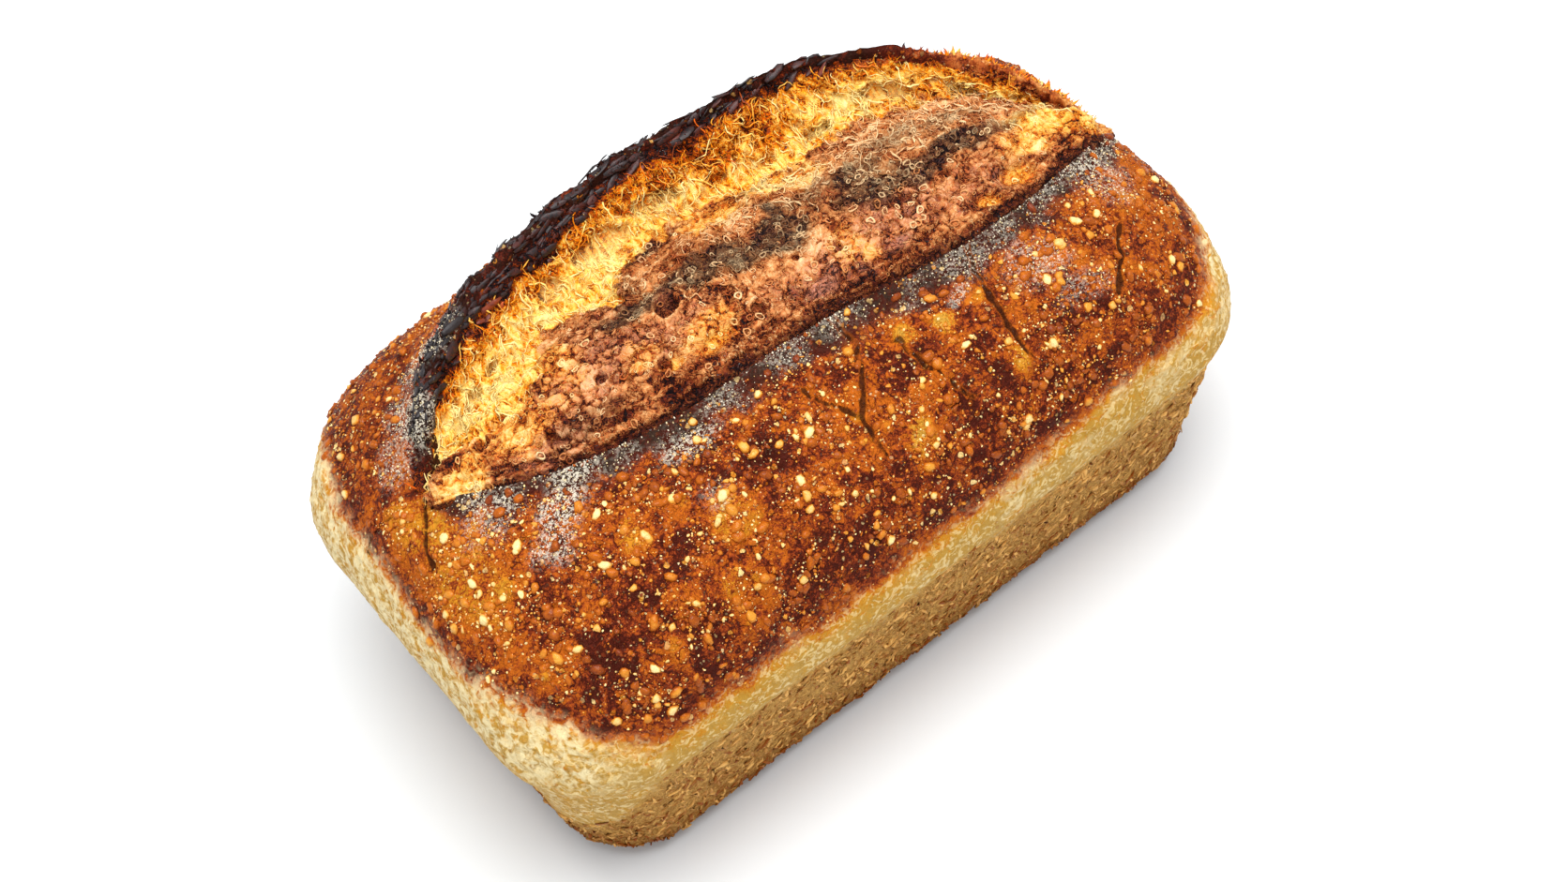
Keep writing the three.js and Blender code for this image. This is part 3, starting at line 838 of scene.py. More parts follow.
def inside_material(colours):
    """The torn inside: brown skin over the bloom, golden crumb in the valley, soot and char, and painted
    shade in the crevice by the lip.
    """
    material, tree, shader, where = surface("Torn inside", 0.45, 0.04, 0.0, 0.15)
    fine = calc(tree, "SUBTRACT", mottle(tree, where, 1.3, 4, 2.2, 0.6), 0.5)
    pale_line = use(tree, "Wrinkles", {"Vector": where, "Size": 1.9, "Width": 0.08})["Fold"]
    dark_line = use(tree, "Wrinkles", {"Vector": where, "Size": 3.2, "Width": 0.045})["Fold"]
    bake = read(tree, "bake")
    lined = span(tree, bake, 0.2, 0.6, 0.25, 1.0)
    rings = use(tree, "Beads", {"Vector": where, "Size": 2.2, "Share": 0.5})
    ring_tone = weigh(tree, (rings["Bead"], 0.1), (rings["Edge"], -0.3))
    curled = calc(tree, "MULTIPLY", ring_tone, read(tree, "skin"))
    lines = weigh(tree, (dark_line, 0.5), (pale_line, -0.3), (curled, 1.0))
    lines = calc(tree, "MULTIPLY", lines, lined)
    wobble = weigh(tree, (calc(tree, "MULTIPLY", fine, lined), 0.95), (lines, 1.0))
    level = calc(tree, "ADD", bake, wobble, True)
    colour = torn_colour(tree, level)
    skin = weigh(tree, (fine, 2.0), (dark_line, -0.8), (pale_line, 0.5))
    rosy = calc(tree, "MULTIPLY", read(tree, "rosy"), span(tree, skin, -0.4, 0.3, 0.1, 1.0))
    colour = blend(tree, rosy, colour, shade(colours.rosy))
    web = span(tree, weigh(tree, (fine, 1.5), (pale_line, 0.6)), -0.2, 0.5, 0.3, 1.0)
    colour = blend(tree, calc(tree, "MULTIPLY", read(tree, "crumb"), web), colour, shade(colours.crumb))
    # The soot value also carries the painted shade of the crevice by the lip.
    soot = calc(tree, "MULTIPLY", read(tree, "soot"), span(tree, skin, -0.1, 0.9, 1.0, 0.45))
    colour = blend(tree, soot, colour, shade(colours.soot))
    tree.links.new(colour, shader.inputs["Base Color"])
    shine = calc(tree, "MULTIPLY", span(tree, fine, 0.1, 0.25), lined)
    tree.links.new(shine, shader.inputs["Coat Weight"])
    height = calc(tree, "MULTIPLY", weigh(tree, (fine, 1.0), (pale_line, 0.8), (dark_line, -0.8)), lined)
    bump(tree, shader, height, 0.55)
    return material


def bead_material():
    """The crust's bubbles: darker at the rim and paler on top, some cream and some amber."""
    material, tree, shader, where = surface("Blister", 0.4, 0.04, 0.25, 0.12)
    rise, lot = read(tree, "rise"), read(tree, "lot")
    fine = calc(tree, "SUBTRACT", mottle(tree, where, 0.9, 4, 1.2, 0.65), 0.5)
    top = span(tree, calc(tree, "ADD", rise, fine), 0.1, 1.0)
    paler = calc(tree, "MULTIPLY", top, span(tree, calc(tree, "POWER", lot, 2.5), 0.0, 1.0, -0.1, -0.8))
    level = weigh(tree, (read(tree, "bake"), 0.4), (paler, 1.0), (fine, 0.6))
    level = calc(tree, "ADD", level, 0.52, True)
    tree.links.new(use(tree, "Bead colour", {"Level": level})["Color"], shader.inputs["Base Color"])
    bump(tree, shader, fine, 0.4)
    return material


def speck_material():
    """The smallest bubbles, pale and glossy."""
    material, tree, shader, _ = surface("Speck", 0.35, 0.05, 0.4, 0.12)
    level = span(tree, read(tree, "lot"), 0.0, 1.0, 0.5, 0.0)
    tree.links.new(use(tree, "Bead colour", {"Level": level})["Color"], shader.inputs["Base Color"])
    return material


def strand_material(colours):
    """Torn threads: always paler than what they lie on."""
    material, tree, shader, where = surface("Strand", 0.4, 0.05, 0.3, 0.2)
    fine = calc(tree, "SUBTRACT", mottle(tree, where, 1.5, 2), 0.5)
    drop = span(tree, read(tree, "lot"), 0.0, 1.0, 0.05, 0.38)
    level = weigh(tree, (read(tree, "bake"), 1.0), (fine, 0.3), (drop, -1.0))
    colour = torn_colour(tree, level)
    # The soot value also carries the painted shade of the crevice by the lip, so threads there darken too.
    sooty = calc(tree, "MULTIPLY", read(tree, "soot"), span(tree, read(tree, "lot"), 0.5, 1.0, 0.85, 0.2))
    colour = blend(tree, sooty, colour, shade(colours.soot))
    tree.links.new(colour, shader.inputs["Base Color"])
    bump(tree, shader, fine, 0.1)
    return material


def scale_material():
    """Charred scales of the ear: blue-black, with a few browner ones between."""
    material, tree, shader, where = surface("Charred scale", 0.45, 0.25, 0.3, 0.3)
    tone = calc(tree, "SUBTRACT", mottle(tree, where, 1.3, 4, 0.8, 0.65), 0.5)
    rare = calc(tree, "POWER", read(tree, "lot"), 4.0)
    paler = weigh(tree, (rare, -0.08), (tone, 0.35))
    level = calc(tree, "ADD", read(tree, "bake"), paler, True)
    tree.links.new(torn_colour(tree, level), shader.inputs["Base Color"])
    bump(tree, shader, tone, 0.4)
    return material


def thorn_material():
    """Thorns of the ear's ragged crest, with dark tips, and golden roots where the ear is only browned."""
    material, tree, shader, _ = surface("Thorn", 0.45, 0.05, 0.2, 0.25)
    root = calc(tree, "MULTIPLY", read(tree, "skin"), -0.25)
    tip = calc(tree, "MULTIPLY", read(tree, "rise"), 0.35)
    own = calc(tree, "MULTIPLY", calc(tree, "SUBTRACT", read(tree, "lot"), 0.5), 0.3)
    total = weigh(tree, (read(tree, "bake"), 1.0), (root, 1.0), (tip, 1.0), (own, 1.0))
    level = calc(tree, "ADD", total, 0.0, True)
    tree.links.new(use(tree, "Torn colour", {"Level": level})["Color"], shader.inputs["Base Color"])
    return material


def flake_material(colours):
    """Flakes of the tin-shaped wall, from pale straw to tan."""
    material, tree, shader, where = surface("Wall flake", 0.55, 0.05, 0.15, 0.25)
    tone = mottle(tree, where, 2, 3, 0.5)
    level = weigh(
        tree, (read(tree, "lot"), 0.9), (calc(tree, "SUBTRACT", tone, 0.5), 1.0), (read(tree, "foot"), -0.6),
        (read(tree, "height"), 0.25),
    )  # fmt: skip
    colour = blend(tree, span(tree, level, 0.0, 1.05), shade(colours.wall_dark), shade(colours.wall_pale))
    tree.links.new(colour, shader.inputs["Base Color"])
    bump(tree, shader, tone, 0.2)
    return material


def flour_material(colours):
    """Dry flour, from white to cream."""
    material, tree, shader, where = surface("Flour", 0.9, 0.2)
    tone = mottle(tree, where, 3, 2)
    colour = blend(tree, span(tree, tone, 0.3, 0.7), shade(colours.flour), shade(colours.milk))
    tree.links.new(colour, shader.inputs["Base Color"])
    return material


# ---- Small things strewn over a surface ----
# Ruffle is how far the points of the copies are moved, and Ripple is how long the waves of it are.
STREW_INPUTS = [
    ("Template", "NodeSocketObject"), ("Material", "NodeSocketMaterial"), ("Mask", "NodeSocketString"),
    ("Density", "NodeSocketFloat"), ("Spacing", "NodeSocketFloat"), ("Smallest", "NodeSocketFloat"),
    ("Largest", "NodeSocketFloat"), ("Rarity", "NodeSocketFloat"), ("Shape", "NodeSocketVector"),
    ("Direction", "NodeSocketVector"), ("Wander", "NodeSocketFloat"), ("Tilt", "NodeSocketFloat"),
    ("Ruffle", "NodeSocketFloat"), ("Ripple", "NodeSocketFloat"), ("Seed", "NodeSocketInt"),
]  # fmt: skip


def strew_tree():
    """Strews copies of a template where a mask is high, each with its own turn, size and ruffle."""
    tree = bpy.data.node_groups.new("Strew", "GeometryNodeTree")
    for label, kind in [("Geometry", "NodeSocketGeometry"), *STREW_INPUTS]:
        tree.interface.new_socket(label, in_out="INPUT", socket_type=kind)
    tree.interface.new_socket("Geometry", in_out="OUTPUT", socket_type="NodeSocketGeometry")
    source = tree.nodes.new("NodeGroupInput").outputs

    def chance(low, high, offset):
        seed = calc(tree, "ADD", source["Seed"], float(offset))
        limits = {"Min": low, "Max": high, "Seed": seed}
        node = add(tree, "FunctionNodeRandomValue", limits, data_type="FLOAT")
        return socket_named(node.outputs, "Value")

    def vector(operation, inputs):
        return add(tree, "ShaderNodeVectorMath", inputs, operation=operation).outputs[0]

    mask = add(tree, "GeometryNodeInputNamedAttribute", {"Name": source["Mask"]}, data_type="FLOAT")
    spread = {
        "Mesh": source["Geometry"], "Distance Min": source["Spacing"], "Density Max": source["Density"],
        "Density Factor": socket_named(mask.outputs, "Attribute"), "Seed": source["Seed"],
    }  # fmt: skip
    spots = add(tree, "GeometryNodeDistributePointsOnFaces", spread, distribute_method="POISSON").outputs
    aims = {"Rotation": spots["Rotation"], "Vector": source["Direction"]}
    aim = add(tree, "FunctionNodeAlignRotationToVector", aims, axis="X", pivot_axis="Z").outputs["Rotation"]
    turn = chance(calc(tree, "MULTIPLY", source["Wander"], -1.0), source["Wander"], 1)
    lift = calc(tree, "MULTIPLY", source["Tilt"], -1.0)
    spin = add(tree, "ShaderNodeCombineXYZ", {"Y": lift, "Z": turn}).outputs["Vector"]
    rotate_by = add(tree, "FunctionNodeEulerToRotation", {"Euler": spin}).outputs["Rotation"]
    turning = {"Rotation": aim, "Rotate By": rotate_by}
    turned = add(tree, "FunctionNodeRotateRotation", turning, rotation_space="LOCAL").outputs["Rotation"]
    draw = calc(tree, "POWER", chance(0.0, 1.0, 2), source["Rarity"])
    extra = calc(tree, "MULTIPLY", draw, calc(tree, "SUBTRACT", source["Largest"], source["Smallest"]))
    size = calc(tree, "ADD", source["Smallest"], extra)
    stretch = chance(0.75, 1.3, 3)
    squash = calc(tree, "DIVIDE", 1.0, stretch)
    wide = add(tree, "ShaderNodeCombineXYZ", {"X": stretch, "Y": squash, "Z": 1.0}).outputs["Vector"]
    scale = vector("SCALE", {0: vector("MULTIPLY", {0: source["Shape"], 1: wide}), "Scale": size})
    thing = add(tree, "GeometryNodeObjectInfo", {"Object": source["Template"]}).outputs["Geometry"]
    copying = {"Points": spots["Points"], "Instance": thing, "Rotation": turned, "Scale": scale}
    copies = add(tree, "GeometryNodeInstanceOnPoints", copying).outputs["Instances"]
    drawing = {"Geometry": copies, "Name": "lot", "Value": chance(0.0, 1.0, 4)}
    lots = add(
        tree, "GeometryNodeStoreNamedAttribute", drawing, data_type="FLOAT", domain="INSTANCE"
    ).outputs["Geometry"]  # fmt: skip
    real = add(tree, "GeometryNodeRealizeInstances", {"Geometry": lots}).outputs["Geometry"]
    at = add(tree, "GeometryNodeInputPosition").outputs["Position"]
    per_metre = calc(tree, "DIVIDE", 1.0, source["Ripple"])
    waving = {"Vector": at, "Scale": per_metre, "Detail": 1.0}
    lumps = add(tree, "ShaderNodeTexNoise", waving).outputs["Color"]
    centred = vector("SUBTRACT", {0: lumps, 1: (0.5, 0.5, 0.5)})
    offset = vector("SCALE", {0: centred, "Scale": source["Ruffle"]})
    moved = add(tree, "GeometryNodeSetPosition", {"Geometry": real, "Offset": offset}).outputs["Geometry"]
    dressing = {"Geometry": moved, "Material": source["Material"]}
    dressed = add(tree, "GeometryNodeSetMaterial", dressing).outputs["Geometry"]
    tree.links.new(dressed, tree.nodes.new("NodeGroupOutput").inputs["Geometry"])


def strew(name, host, template, material, mask, seed, **sizes):
    """A new piece: copies of the template mesh strewn over the host, joined as one plain mesh."""
    tree = bpy.data.node_groups["Strew"]
    pattern = bpy.data.objects.new(f"{name}_template", template)
    piece = place(name, host.data.copy())
    values = {
        "Template": pattern, "Material": material, "Mask": mask, "Seed": seed, "Rarity": 1.0,
        "Shape": (1.0, 1.0, 1.0), "Direction": (0.0, 1.0, 0.0), "Wander": math.pi, "Tilt": 0.0, "Ruffle": 0.0,
        "Ripple": 2 * MM, **sizes,
    }  # fmt: skip
    modifier = piece.modifiers.new("Strew", "NODES")
    modifier.node_group = tree
    for item in tree.interface.items_tree:
        if item.in_out == "INPUT" and item.name in values:
            modifier[item.identifier] = values[item.name]
    depsgraph = bpy.context.evaluated_depsgraph_get()
    mesh = bpy.data.meshes.new_from_object(piece.evaluated_get(depsgraph))
    piece.modifiers.clear()
    piece.data = mesh
    mesh.shade_smooth()
    bpy.data.objects.remove(pattern)
    if not len(mesh.polygons):
        raise RuntimeError(f"{name} came out empty")
    return piece


def turned_shape(name, rings, tip, sides):
    """A closed round shape from (radius, height) rings and a tip; it knows how high each point is."""
    angles = np.arange(sides) * 2 * np.pi / sides
    points = [(r * np.cos(a), r * np.sin(a), h) for r, h in rings for a in angles] + [(0, 0, tip)]
    ids = np.arange(len(rings) * sides).reshape(len(rings), sides)
    faces = [ring_faces(upper, lower) for lower, upper in zip(ids, ids[1:])]
    last = ids[-1]
    faces.append(np.stack([last, np.roll(last, -1), np.full(sides, len(points) - 1)], axis=-1))
    faces.append(ids[0][None, ::-1])
    mesh = make_mesh(name, np.array(points, float) / MM, faces)
    low = rings[0][1]
    store(mesh, "rise", [(p[2] - low) / (tip - low) for p in points])
    return mesh


def tube_shape(name, centres, radii, sides=3, closed=False):
    """A thin tube along a few points, capped unless the path closes."""
    centres = np.array(centres, float)
    ahead = np.roll(centres, -1, axis=0) - np.roll(centres, 1, axis=0)
    if not closed:
        ahead[0], ahead[-1] = centres[1] - centres[0], centres[-1] - centres[-2]
    ahead /= np.linalg.norm(ahead, axis=1)[:, None]
    side = np.cross([0, 0, 1.0], ahead)
    side /= np.linalg.norm(side, axis=1)[:, None]
    over = np.cross(ahead, side)
    angles = np.arange(sides) * 2 * np.pi / sides
    points = []
    for c, r, s, o in zip(centres, radii, side, over):
        points += [c + r * (np.cos(a) * s + np.sin(a) * o) for a in angles]
    ids = np.arange(len(points)).reshape(len(centres), sides)
    pairs = list(zip(ids, ids[1:]))
    if closed:
        pairs.append((ids[-1], ids[0]))
    faces = [ring_faces(after, before) for before, after in pairs]
    if not closed:
        faces += [ids[0][None, ::-1], ids[-1][None, :]]
    return make_mesh(name, np.array(points) / MM, faces)


# ---- The properties a user would change ----
def colour_property(name, description, value):
    return FloatVectorProperty(
        name=name, description=description, subtype="COLOR", size=3, min=0, max=1, default=srgb(*value)
    )


def relief_property(name, description, value, highest):
    return FloatProperty(
        name=name, description=description, unit="LENGTH", default=value * MM, min=0, max=highest * MM
    )


def angle_property(name, description, degrees):
    return FloatProperty(name=name, description=description, subtype="ANGLE", default=math.radians(degrees))


def amount_property(name, description, value, lowest=0):
    return FloatProperty(name=name, description=description, default=value, min=lowest)


class LoafColours(bpy.types.PropertyGroup):
    """Colours of the bake, from the palest to the blackest."""

    milk: colour_property("Milk", "Whitish skin on the band", (240, 220, 168))
    cream: colour_property("Cream", "Palest part of the band over the tin's rim", (180, 142, 74))
    straw: colour_property("Straw", "Upper part of the pale band", (194, 146, 58))
    gold: colour_property("Gold", "First browning above the band", (204, 134, 34))
    amber: colour_property("Amber", "Orange shoulders", (186, 94, 24))
    russet: colour_property("Russet", "Orange-brown of the thin crust", (156, 68, 26))
    chestnut: colour_property("Chestnut", "Red-brown of the main crust", (112, 42, 22))
    umber: colour_property("Umber", "Darkest crust", (78, 28, 18))
    char: colour_property("Char", "Charred lip", (40, 20, 14))
    # Bead is also painted onto the crust as its glint dots and as the sheen of the band's streaks.
    bead: colour_property("Bead", "Creamy tops of the crust's bubbles", (250, 224, 156))
    honey: colour_property("Honey", "Golden bodies of the crust's bubbles", (228, 158, 56))
    toffee: colour_property("Toffee", "Amber sides of the crust's bubbles", (188, 96, 16))
    peach: colour_property("Peach", "Pale folds of the bloom", (248, 206, 152))
    # Soot is also painted as shade into the crevice along the lip.
    soot: colour_property("Soot", "Blue-black char of the ear", (34, 26, 28))
    crumb: colour_property("Crumb", "Soft crumb in the open holes", (255, 230, 152))
    crumb_gold: colour_property("Golden crumb", "Torn crumb of the valley", (255, 212, 108))
    crumb_orange: colour_property("Orange crumb", "Baked edges of the torn crumb", (253, 160, 26))
    burnt: colour_property("Burnt orange", "Scorched crumb under the ear", (228, 98, 2))
    bloom_light: colour_property("Bloom, light", "Thin folds of the bloom", (216, 142, 82))
    bloom: colour_property("Bloom", "Brown skin of the bloom", (176, 88, 42))
    bloom_dark: colour_property("Bloom, dark", "Recesses of the bloom", (112, 44, 26))
    rosy: colour_property("Rosy", "Thin rosy skin of the bloom", (206, 136, 112))
    wall_pale: colour_property("Wall, pale", "Raised flakes of the tin-shaped wall", (236, 180, 98))
    wall_dark: colour_property("Wall, dark", "Hollows of the tin-shaped wall", (138, 68, 4))
    foot: colour_property("Foot", "Edge of the base", (132, 72, 18))
    flour: colour_property("Flour", "Flour dust", (240, 230, 210))
    ash: colour_property("Ash", "Grey-brown char of the lip", (54, 38, 30))


class LoafSizes(bpy.types.PropertyGroup):
    """Sizes of the relief."""

    crag: relief_property("Crag height", "How rough the bloom is", 1.6, 4)
    wave: relief_property("Crust wave", "How wavy the crust is", 0.7, 2)


class LoafStage(bpy.types.PropertyGroup):
    """The camera and the light."""

    azimuth: angle_property("Azimuth", "Camera's turn round the loaf", -27.1)
    elevation: angle_property("Elevation", "Camera's height as an angle", 53.3)
    roll: angle_property("Roll", "Camera's tilt in its own view", -13.3)
    distance: FloatProperty(
        name="Distance", description="Camera to loaf", unit="LENGTH", default=0.6738, min=0.1
    )
    lens: amount_property("Lens", "Focal length in mm, for a 36 mm sensor", 55.69, 10)
    key: amount_property("Key light", "Strength of the large soft light, in watts", 15.0)
    glint: amount_property("Glint light", "Strength of the small light, in watts", 1.3)
    fill: amount_property("Fill light", "Strength of the white surroundings", 0.72)


# ---- The pieces ----
BAND_TOP = 73
WALL_TOP = 55
WALL_TOP_LEFT = 22
FURTHEST_X = 300
# The crust's unplaced bubbles: one at most in each cell, and how far the widest one reaches.
BLOB_CELL = 8
BLOB_REACH = 3.8
CRACK_DEPTH = 0.7
CRACK_WIDTH = 0.5
# How much lower the far shoulder is at the right end than in the solid.
SHOULDER_DROP = 4.0
# How dark the bake is at these heights in millimetres above its start.
BAKE_HEIGHTS = (-14, -6, -1, 1.5, 4, 9, 20, 34)
BAKE_LEVELS = (0.03, 0.08, 0.18, 0.34, 0.58, 0.74, 0.66, 0.54)
# Between these two places along the loaf the ear's char gives way to brown, outside and inside.
CRUST_SINGED = (70, 98)
INSIDE_SINGED = (48, 82)


def singed_share(points, start, end):
    """How far the ear is only browned and not charred, from start to end along the loaf."""
    return smooth(start, end, points[:, 0]) * (0.7 + 0.3 * smooth(-0.3, 0.4, noise(points, 7, 37)))


def crust_fields(points, lip_gap, crest_gap, region, plan_x, wave):
    """The crust's relief in millimetres, and the values that its material reads."""
    x, y, z = points.T
    on_top = smooth(RIM_HEIGHT + 6, BAND_HEIGHT + 10, z)
    inside_tips = (plan_x > SLASH_LEFT) & (plan_x < SLASH_RIGHT)
    tucked, face = (region == TUCKED) & inside_tips, (region == EAR_FACE) & inside_tips
    strength = slash_strength(np.minimum(plan_x, FURTHEST_X))
    near, far = (region < FAR) & ~tucked & ~face, (region == FAR) | face

    # Where the bake begins: higher at the two ends.
    start = BAND_TOP + 3.5 * smooth(-20, 60, x) + 12 * smooth(-88, -114, x) + 4 * smooth(98, 118, x)
    height = z - start - 2.5 * noise(points, 30, 15) - 1.8 * noise(points, 8, 16) - 0.8 * noise(points, 3, 26)
    wall_top = mix(WALL_TOP, WALL_TOP_LEFT, smooth(-86, -112, x))
    wall_edge = z - wall_top - 2.5 * noise(points, 12, 19) - 2.0 * noise(points, 3, 20)
    is_wall = smooth(5.0, -7.0, wall_edge)

    # Bubbles, cracks, wrinkles, and the worm-like flakes of the wall.
    gap, _, lot = cells(points, BLOB_CELL, 11)
    reach = np.clip((lot - 0.5) / 0.5, 0, 1) * BLOB_REACH
    blobs = np.sqrt(np.clip(1 - (gap / np.maximum(reach, 0.3)) ** 2, 0, 1)) * (reach > 0.8)
    crack = np.min([path_gap(points, path) for path in CRACKS], axis=0)
    crack = np.where((near | far) & (z > BAND_HEIGHT + 8), crack, 9)
    flat = warped(points, 4, 0.8, 33)
    placed = np.zeros(len(points))
    for centre_x, centre_y, radius, rise in BUBBLES:
        away = np.hypot(flat[:, 0] - centre_x, flat[:, 1] - centre_y) / radius
        placed = np.maximum(placed, rise * np.sqrt(np.clip(1 - away**2, 0, 1)))
    crater_x, crater_y, crater_radius, crater_depth = CRATER
    sunk = smooth(crater_radius, crater_radius * 0.5, np.hypot(x - crater_x, y - crater_y))
    relief = on_top * (
        wave * noise(points, 14, 1)
        + 0.6 * blobs
        + placed
        - crater_depth * sunk * near
        + 0.35 * ridges(points, 4.5, 3)
        + 0.25 * ridges(points, 2.2, 4)
        - CRACK_DEPTH * np.exp(-((crack / CRACK_WIDTH) ** 2))
    )
    worms = ridges(warped(points, 5, 1.5, 5), 2.6, 8)
    flaked = 0.55 * worms + 0.3 * noise(points, 6, 9) + 0.2 * noise(points, 1.5, 10)
    relief += is_wall * smooth(0.5, 6, z) * flaked
    band = on_top * (1 - smooth(-2, 8, height)) * (1 - is_wall)
    relief += band * (0.5 * noise(points, 6, 29) + 0.25 * ridges(points, 3, 30))

    # Char along the lip and over the ear.
    open_slash = smooth(0, 0.25, strength)
    lip_ragged = lip_gap + 3.5 * noise(points, 9, 12) + 1.5 * noise(points, 3, 27)
    lip_char = near * open_slash * smooth(10, 3, lip_ragged)
    reach = 7 + 3 * smooth(-60, 20, -np.abs(x)) + 7 * smooth(30, 70, x)
    crest_gap = np.abs(crest_gap)
    ear_char = far * open_slash * smooth(reach + 2.5, reach - 1.5, crest_gap + 2.5 * noise(points, 5, 13))
    folds = ridges(warped(points, 5, 1.5, 14) * [0.4, 1, 1], 2.2, 14)
    relief += ear_char * (1.3 * folds - 1.0 + 0.8 * noise(points, 6, 28) + 0.7 * noise(points, 2.5, 36))
    relief -= SHOULDER_DROP * smooth(0, 45, x) * smooth(28, 45, y) * smooth(62, 76, z) * (region == FAR)
    relief[tucked | (z < 0.5)] = 0

    bake = np.interp(height, BAKE_HEIGHTS, BAKE_LEVELS)
    bake += on_top * smooth(4, 16, height) * (0.12 * noise(points, 26, 17) + 0.12 * noise(points, 10, 18))
    placed_tone = 0.28 * patches(points, DARK_PATCHES) - 0.2 * patches(points, ORANGE_PATCHES)
    bake += near * smooth(6, 14, height) * placed_tone
    bake -= smooth(4, 12, height) * (0.13 * blobs + 0.22 * np.clip(placed, 0, 1)) - 0.14 * sunk * near
    bake = mix(bake, 0.95, 0.92 * lip_char)
    singed = singed_share(points, *CRUST_SINGED)
    browned = 0.6 - 0.3 * folds + 0.25 * noise(points, 4, 38) - 0.15 * smooth(6, 1, crest_gap)
    bake = mix(bake, mix(0.99, browned, singed), ear_char)
    bake -= (0.14 * smooth(-82, -104, x) + 0.1 * smooth(78, 98, x)) * smooth(4, 12, height)
    # Painted shade: the crust tucked under the torn inside is painted almost black.
    bake[tucked] = 0.97
    lively = smooth(-1, 10, height) * np.where(tucked, 0.1, 1) * (1 - 0.6 * lip_char)
    dust = patches(points, FLOUR_PATCHES, 2.0, 64) * (near | far)
    bake += 0.12 * dust * smooth(4, 12, height)
    clusters = 0.2 + 0.8 * smooth(-0.15, 0.45, noise(points, 9, 35))
    fewer_low = 0.5 + 0.5 * smooth(4, 16, height)
    near_beads = near * clusters * (1 - 0.4 * lip_char) * fewer_low * smooth(0.9, 2.0, crack)
    far_beads = far * 0.3 * (crest_gap > 12)
    ends = smooth(-90, -112, x) + 0.6 * smooth(95, 116, x)
    values = {
        "bake": bake,
        "lively": 0.4 + 0.6 * lively * (1 - 0.6 * ear_char),
        "wall": is_wall,
        "foot": 0.85 * smooth(20, 1, z + 3 * noise(points, 8, 21)),
        "height": np.clip(z / WALL_TOP, 0, 1),
        "streaky": (1 - is_wall) * smooth(6, -2, height),
        "milky": band * np.clip(0.55 * smooth(-0.1, 0.5, noise(points, 13, 31)) + 0.95 * ends, 0, 1),
        "crack": crack,
        "soot": lip_char,
        "flour": np.clip(0.75 * dust + 0.3 * lip_char * smooth(-0.5, 0.4, noise(points, 9, 32)), 0, 1),
        "beady": lively * (near_beads + far_beads),
        "flaky": is_wall * smooth(2, 7, z),
        "scaly": ear_char * smooth(0.3, 0.6, strength) * smooth(70, 40, x),
        "skin": ear_char * singed,
        "fringe": ear_char * smooth(0.1, 0.3, strength) * (0.15 + 0.85 * smooth(10, 50, x)) * (region == FAR),
        "dusty": np.clip(dust + lip_char * (0.2 + 0.7 * smooth(-0.6, 0.3, noise(points, 9, 32))), 0, 1),
    }
    return relief, values


class LOAF_OT_crust(bpy.types.Operator):
    """Make the crust: base, wall, pale band, dome, lip and ear"""

    bl_idname = "loaf.crust"
    bl_label = "Crust"

    def execute(self, context):
        scene = context.scene
        points, faces, lip_gap, crest_gap, region, plan_x = crust_surface()
        mesh = make_mesh("loaf_crust", points, faces, crust_material(scene.loaf_colours))
        relief, values = crust_fields(points, lip_gap, crest_gap, region, plan_x, scene.loaf_sizes.wave / MM)
        displace(mesh, points, relief)
        for name, value in values.items():
            store(mesh, name, value)
        finish_piece(place("loaf_crust", mesh), replaces=NODE)
        return {"FINISHED"}


INSIDE_COLUMNS = 490
INSIDE_ROWS = 180
INSIDE_START = -0.02
INSIDE_END = 0.975
TRIAL_STEPS = 2000
SLASH_WIDTH = 68
# Past this share of the way the inside climbs the ear, which is this long to its crest.
EAR_FACE_START = 0.8
EAR_FACE_LENGTH = 24
UNDER_ROWS = 12
UNDER_DROP = 4


def inside_surface():
    """The torn inside of the slash as a grid, and each point's share of the way from lip to crest."""
    x = np.linspace(SLASH_LEFT + 1.0, SLASH_RIGHT - 1.5, INSIDE_COLUMNS + 1)
    trial = np.linspace(INSIDE_START, INSIDE_END, TRIAL_STEPS)
    steps = np.hypot(np.diff(trial) * SLASH_WIDTH, np.diff(inside_rise(trial)))
    length = np.concatenate([[0], np.cumsum(steps)])
    q = np.interp(np.linspace(0, length[-1], INSIDE_ROWS + 1), length, trial)
    x, q = np.meshgrid(x, q, indexing="ij")
    y = mix(lip_y(x), ear_y(x), q)
    strength, ear = slash_strength(x), ear_strength(x)
    rise = inside_rise(q)
    z = dome(x, y) + rise * mix(strength, ear, smooth(0, 6, rise))
    return swell(x, y + EAR_LEAN * ear * smooth(0.9, 1, q), z), q


def inside_body():
    """The torn inside as a closed body: the grid on top, a coarser copy of it below, and its four sides."""
    top, share = inside_surface()
    rows = np.round(np.linspace(0, INSIDE_ROWS, UNDER_ROWS + 1)).astype(int)
    under = top[:, rows] - [0, 0, UNDER_DROP]
    ids = np.arange(share.size).reshape(share.shape)
    low = ids.size + np.arange(under[..., 0].size).reshape(under.shape[:2])
    faces = [
        grid_faces(ids), grid_faces(low)[:, ::-1],
        zip_faces(ids[:, 0], low[:, 0]), zip_faces(ids[-1], low[-1]),
        zip_faces(ids[::-1, -1], low[::-1, -1]), zip_faces(ids[0, ::-1], low[0, ::-1]),
    ]  # fmt: skip
    points = np.concatenate([top.reshape(-1, 3), under.reshape(-1, 3)])
    q = np.concatenate([share.ravel(), share[:, rows].ravel()])
    on_top = np.zeros(len(points))
    on_top[: ids.size] = 1
    on_top[np.concatenate([ids[:, 0], ids[:, -1], ids[0], ids[-1]])] = 0
    return points, faces, q, on_top


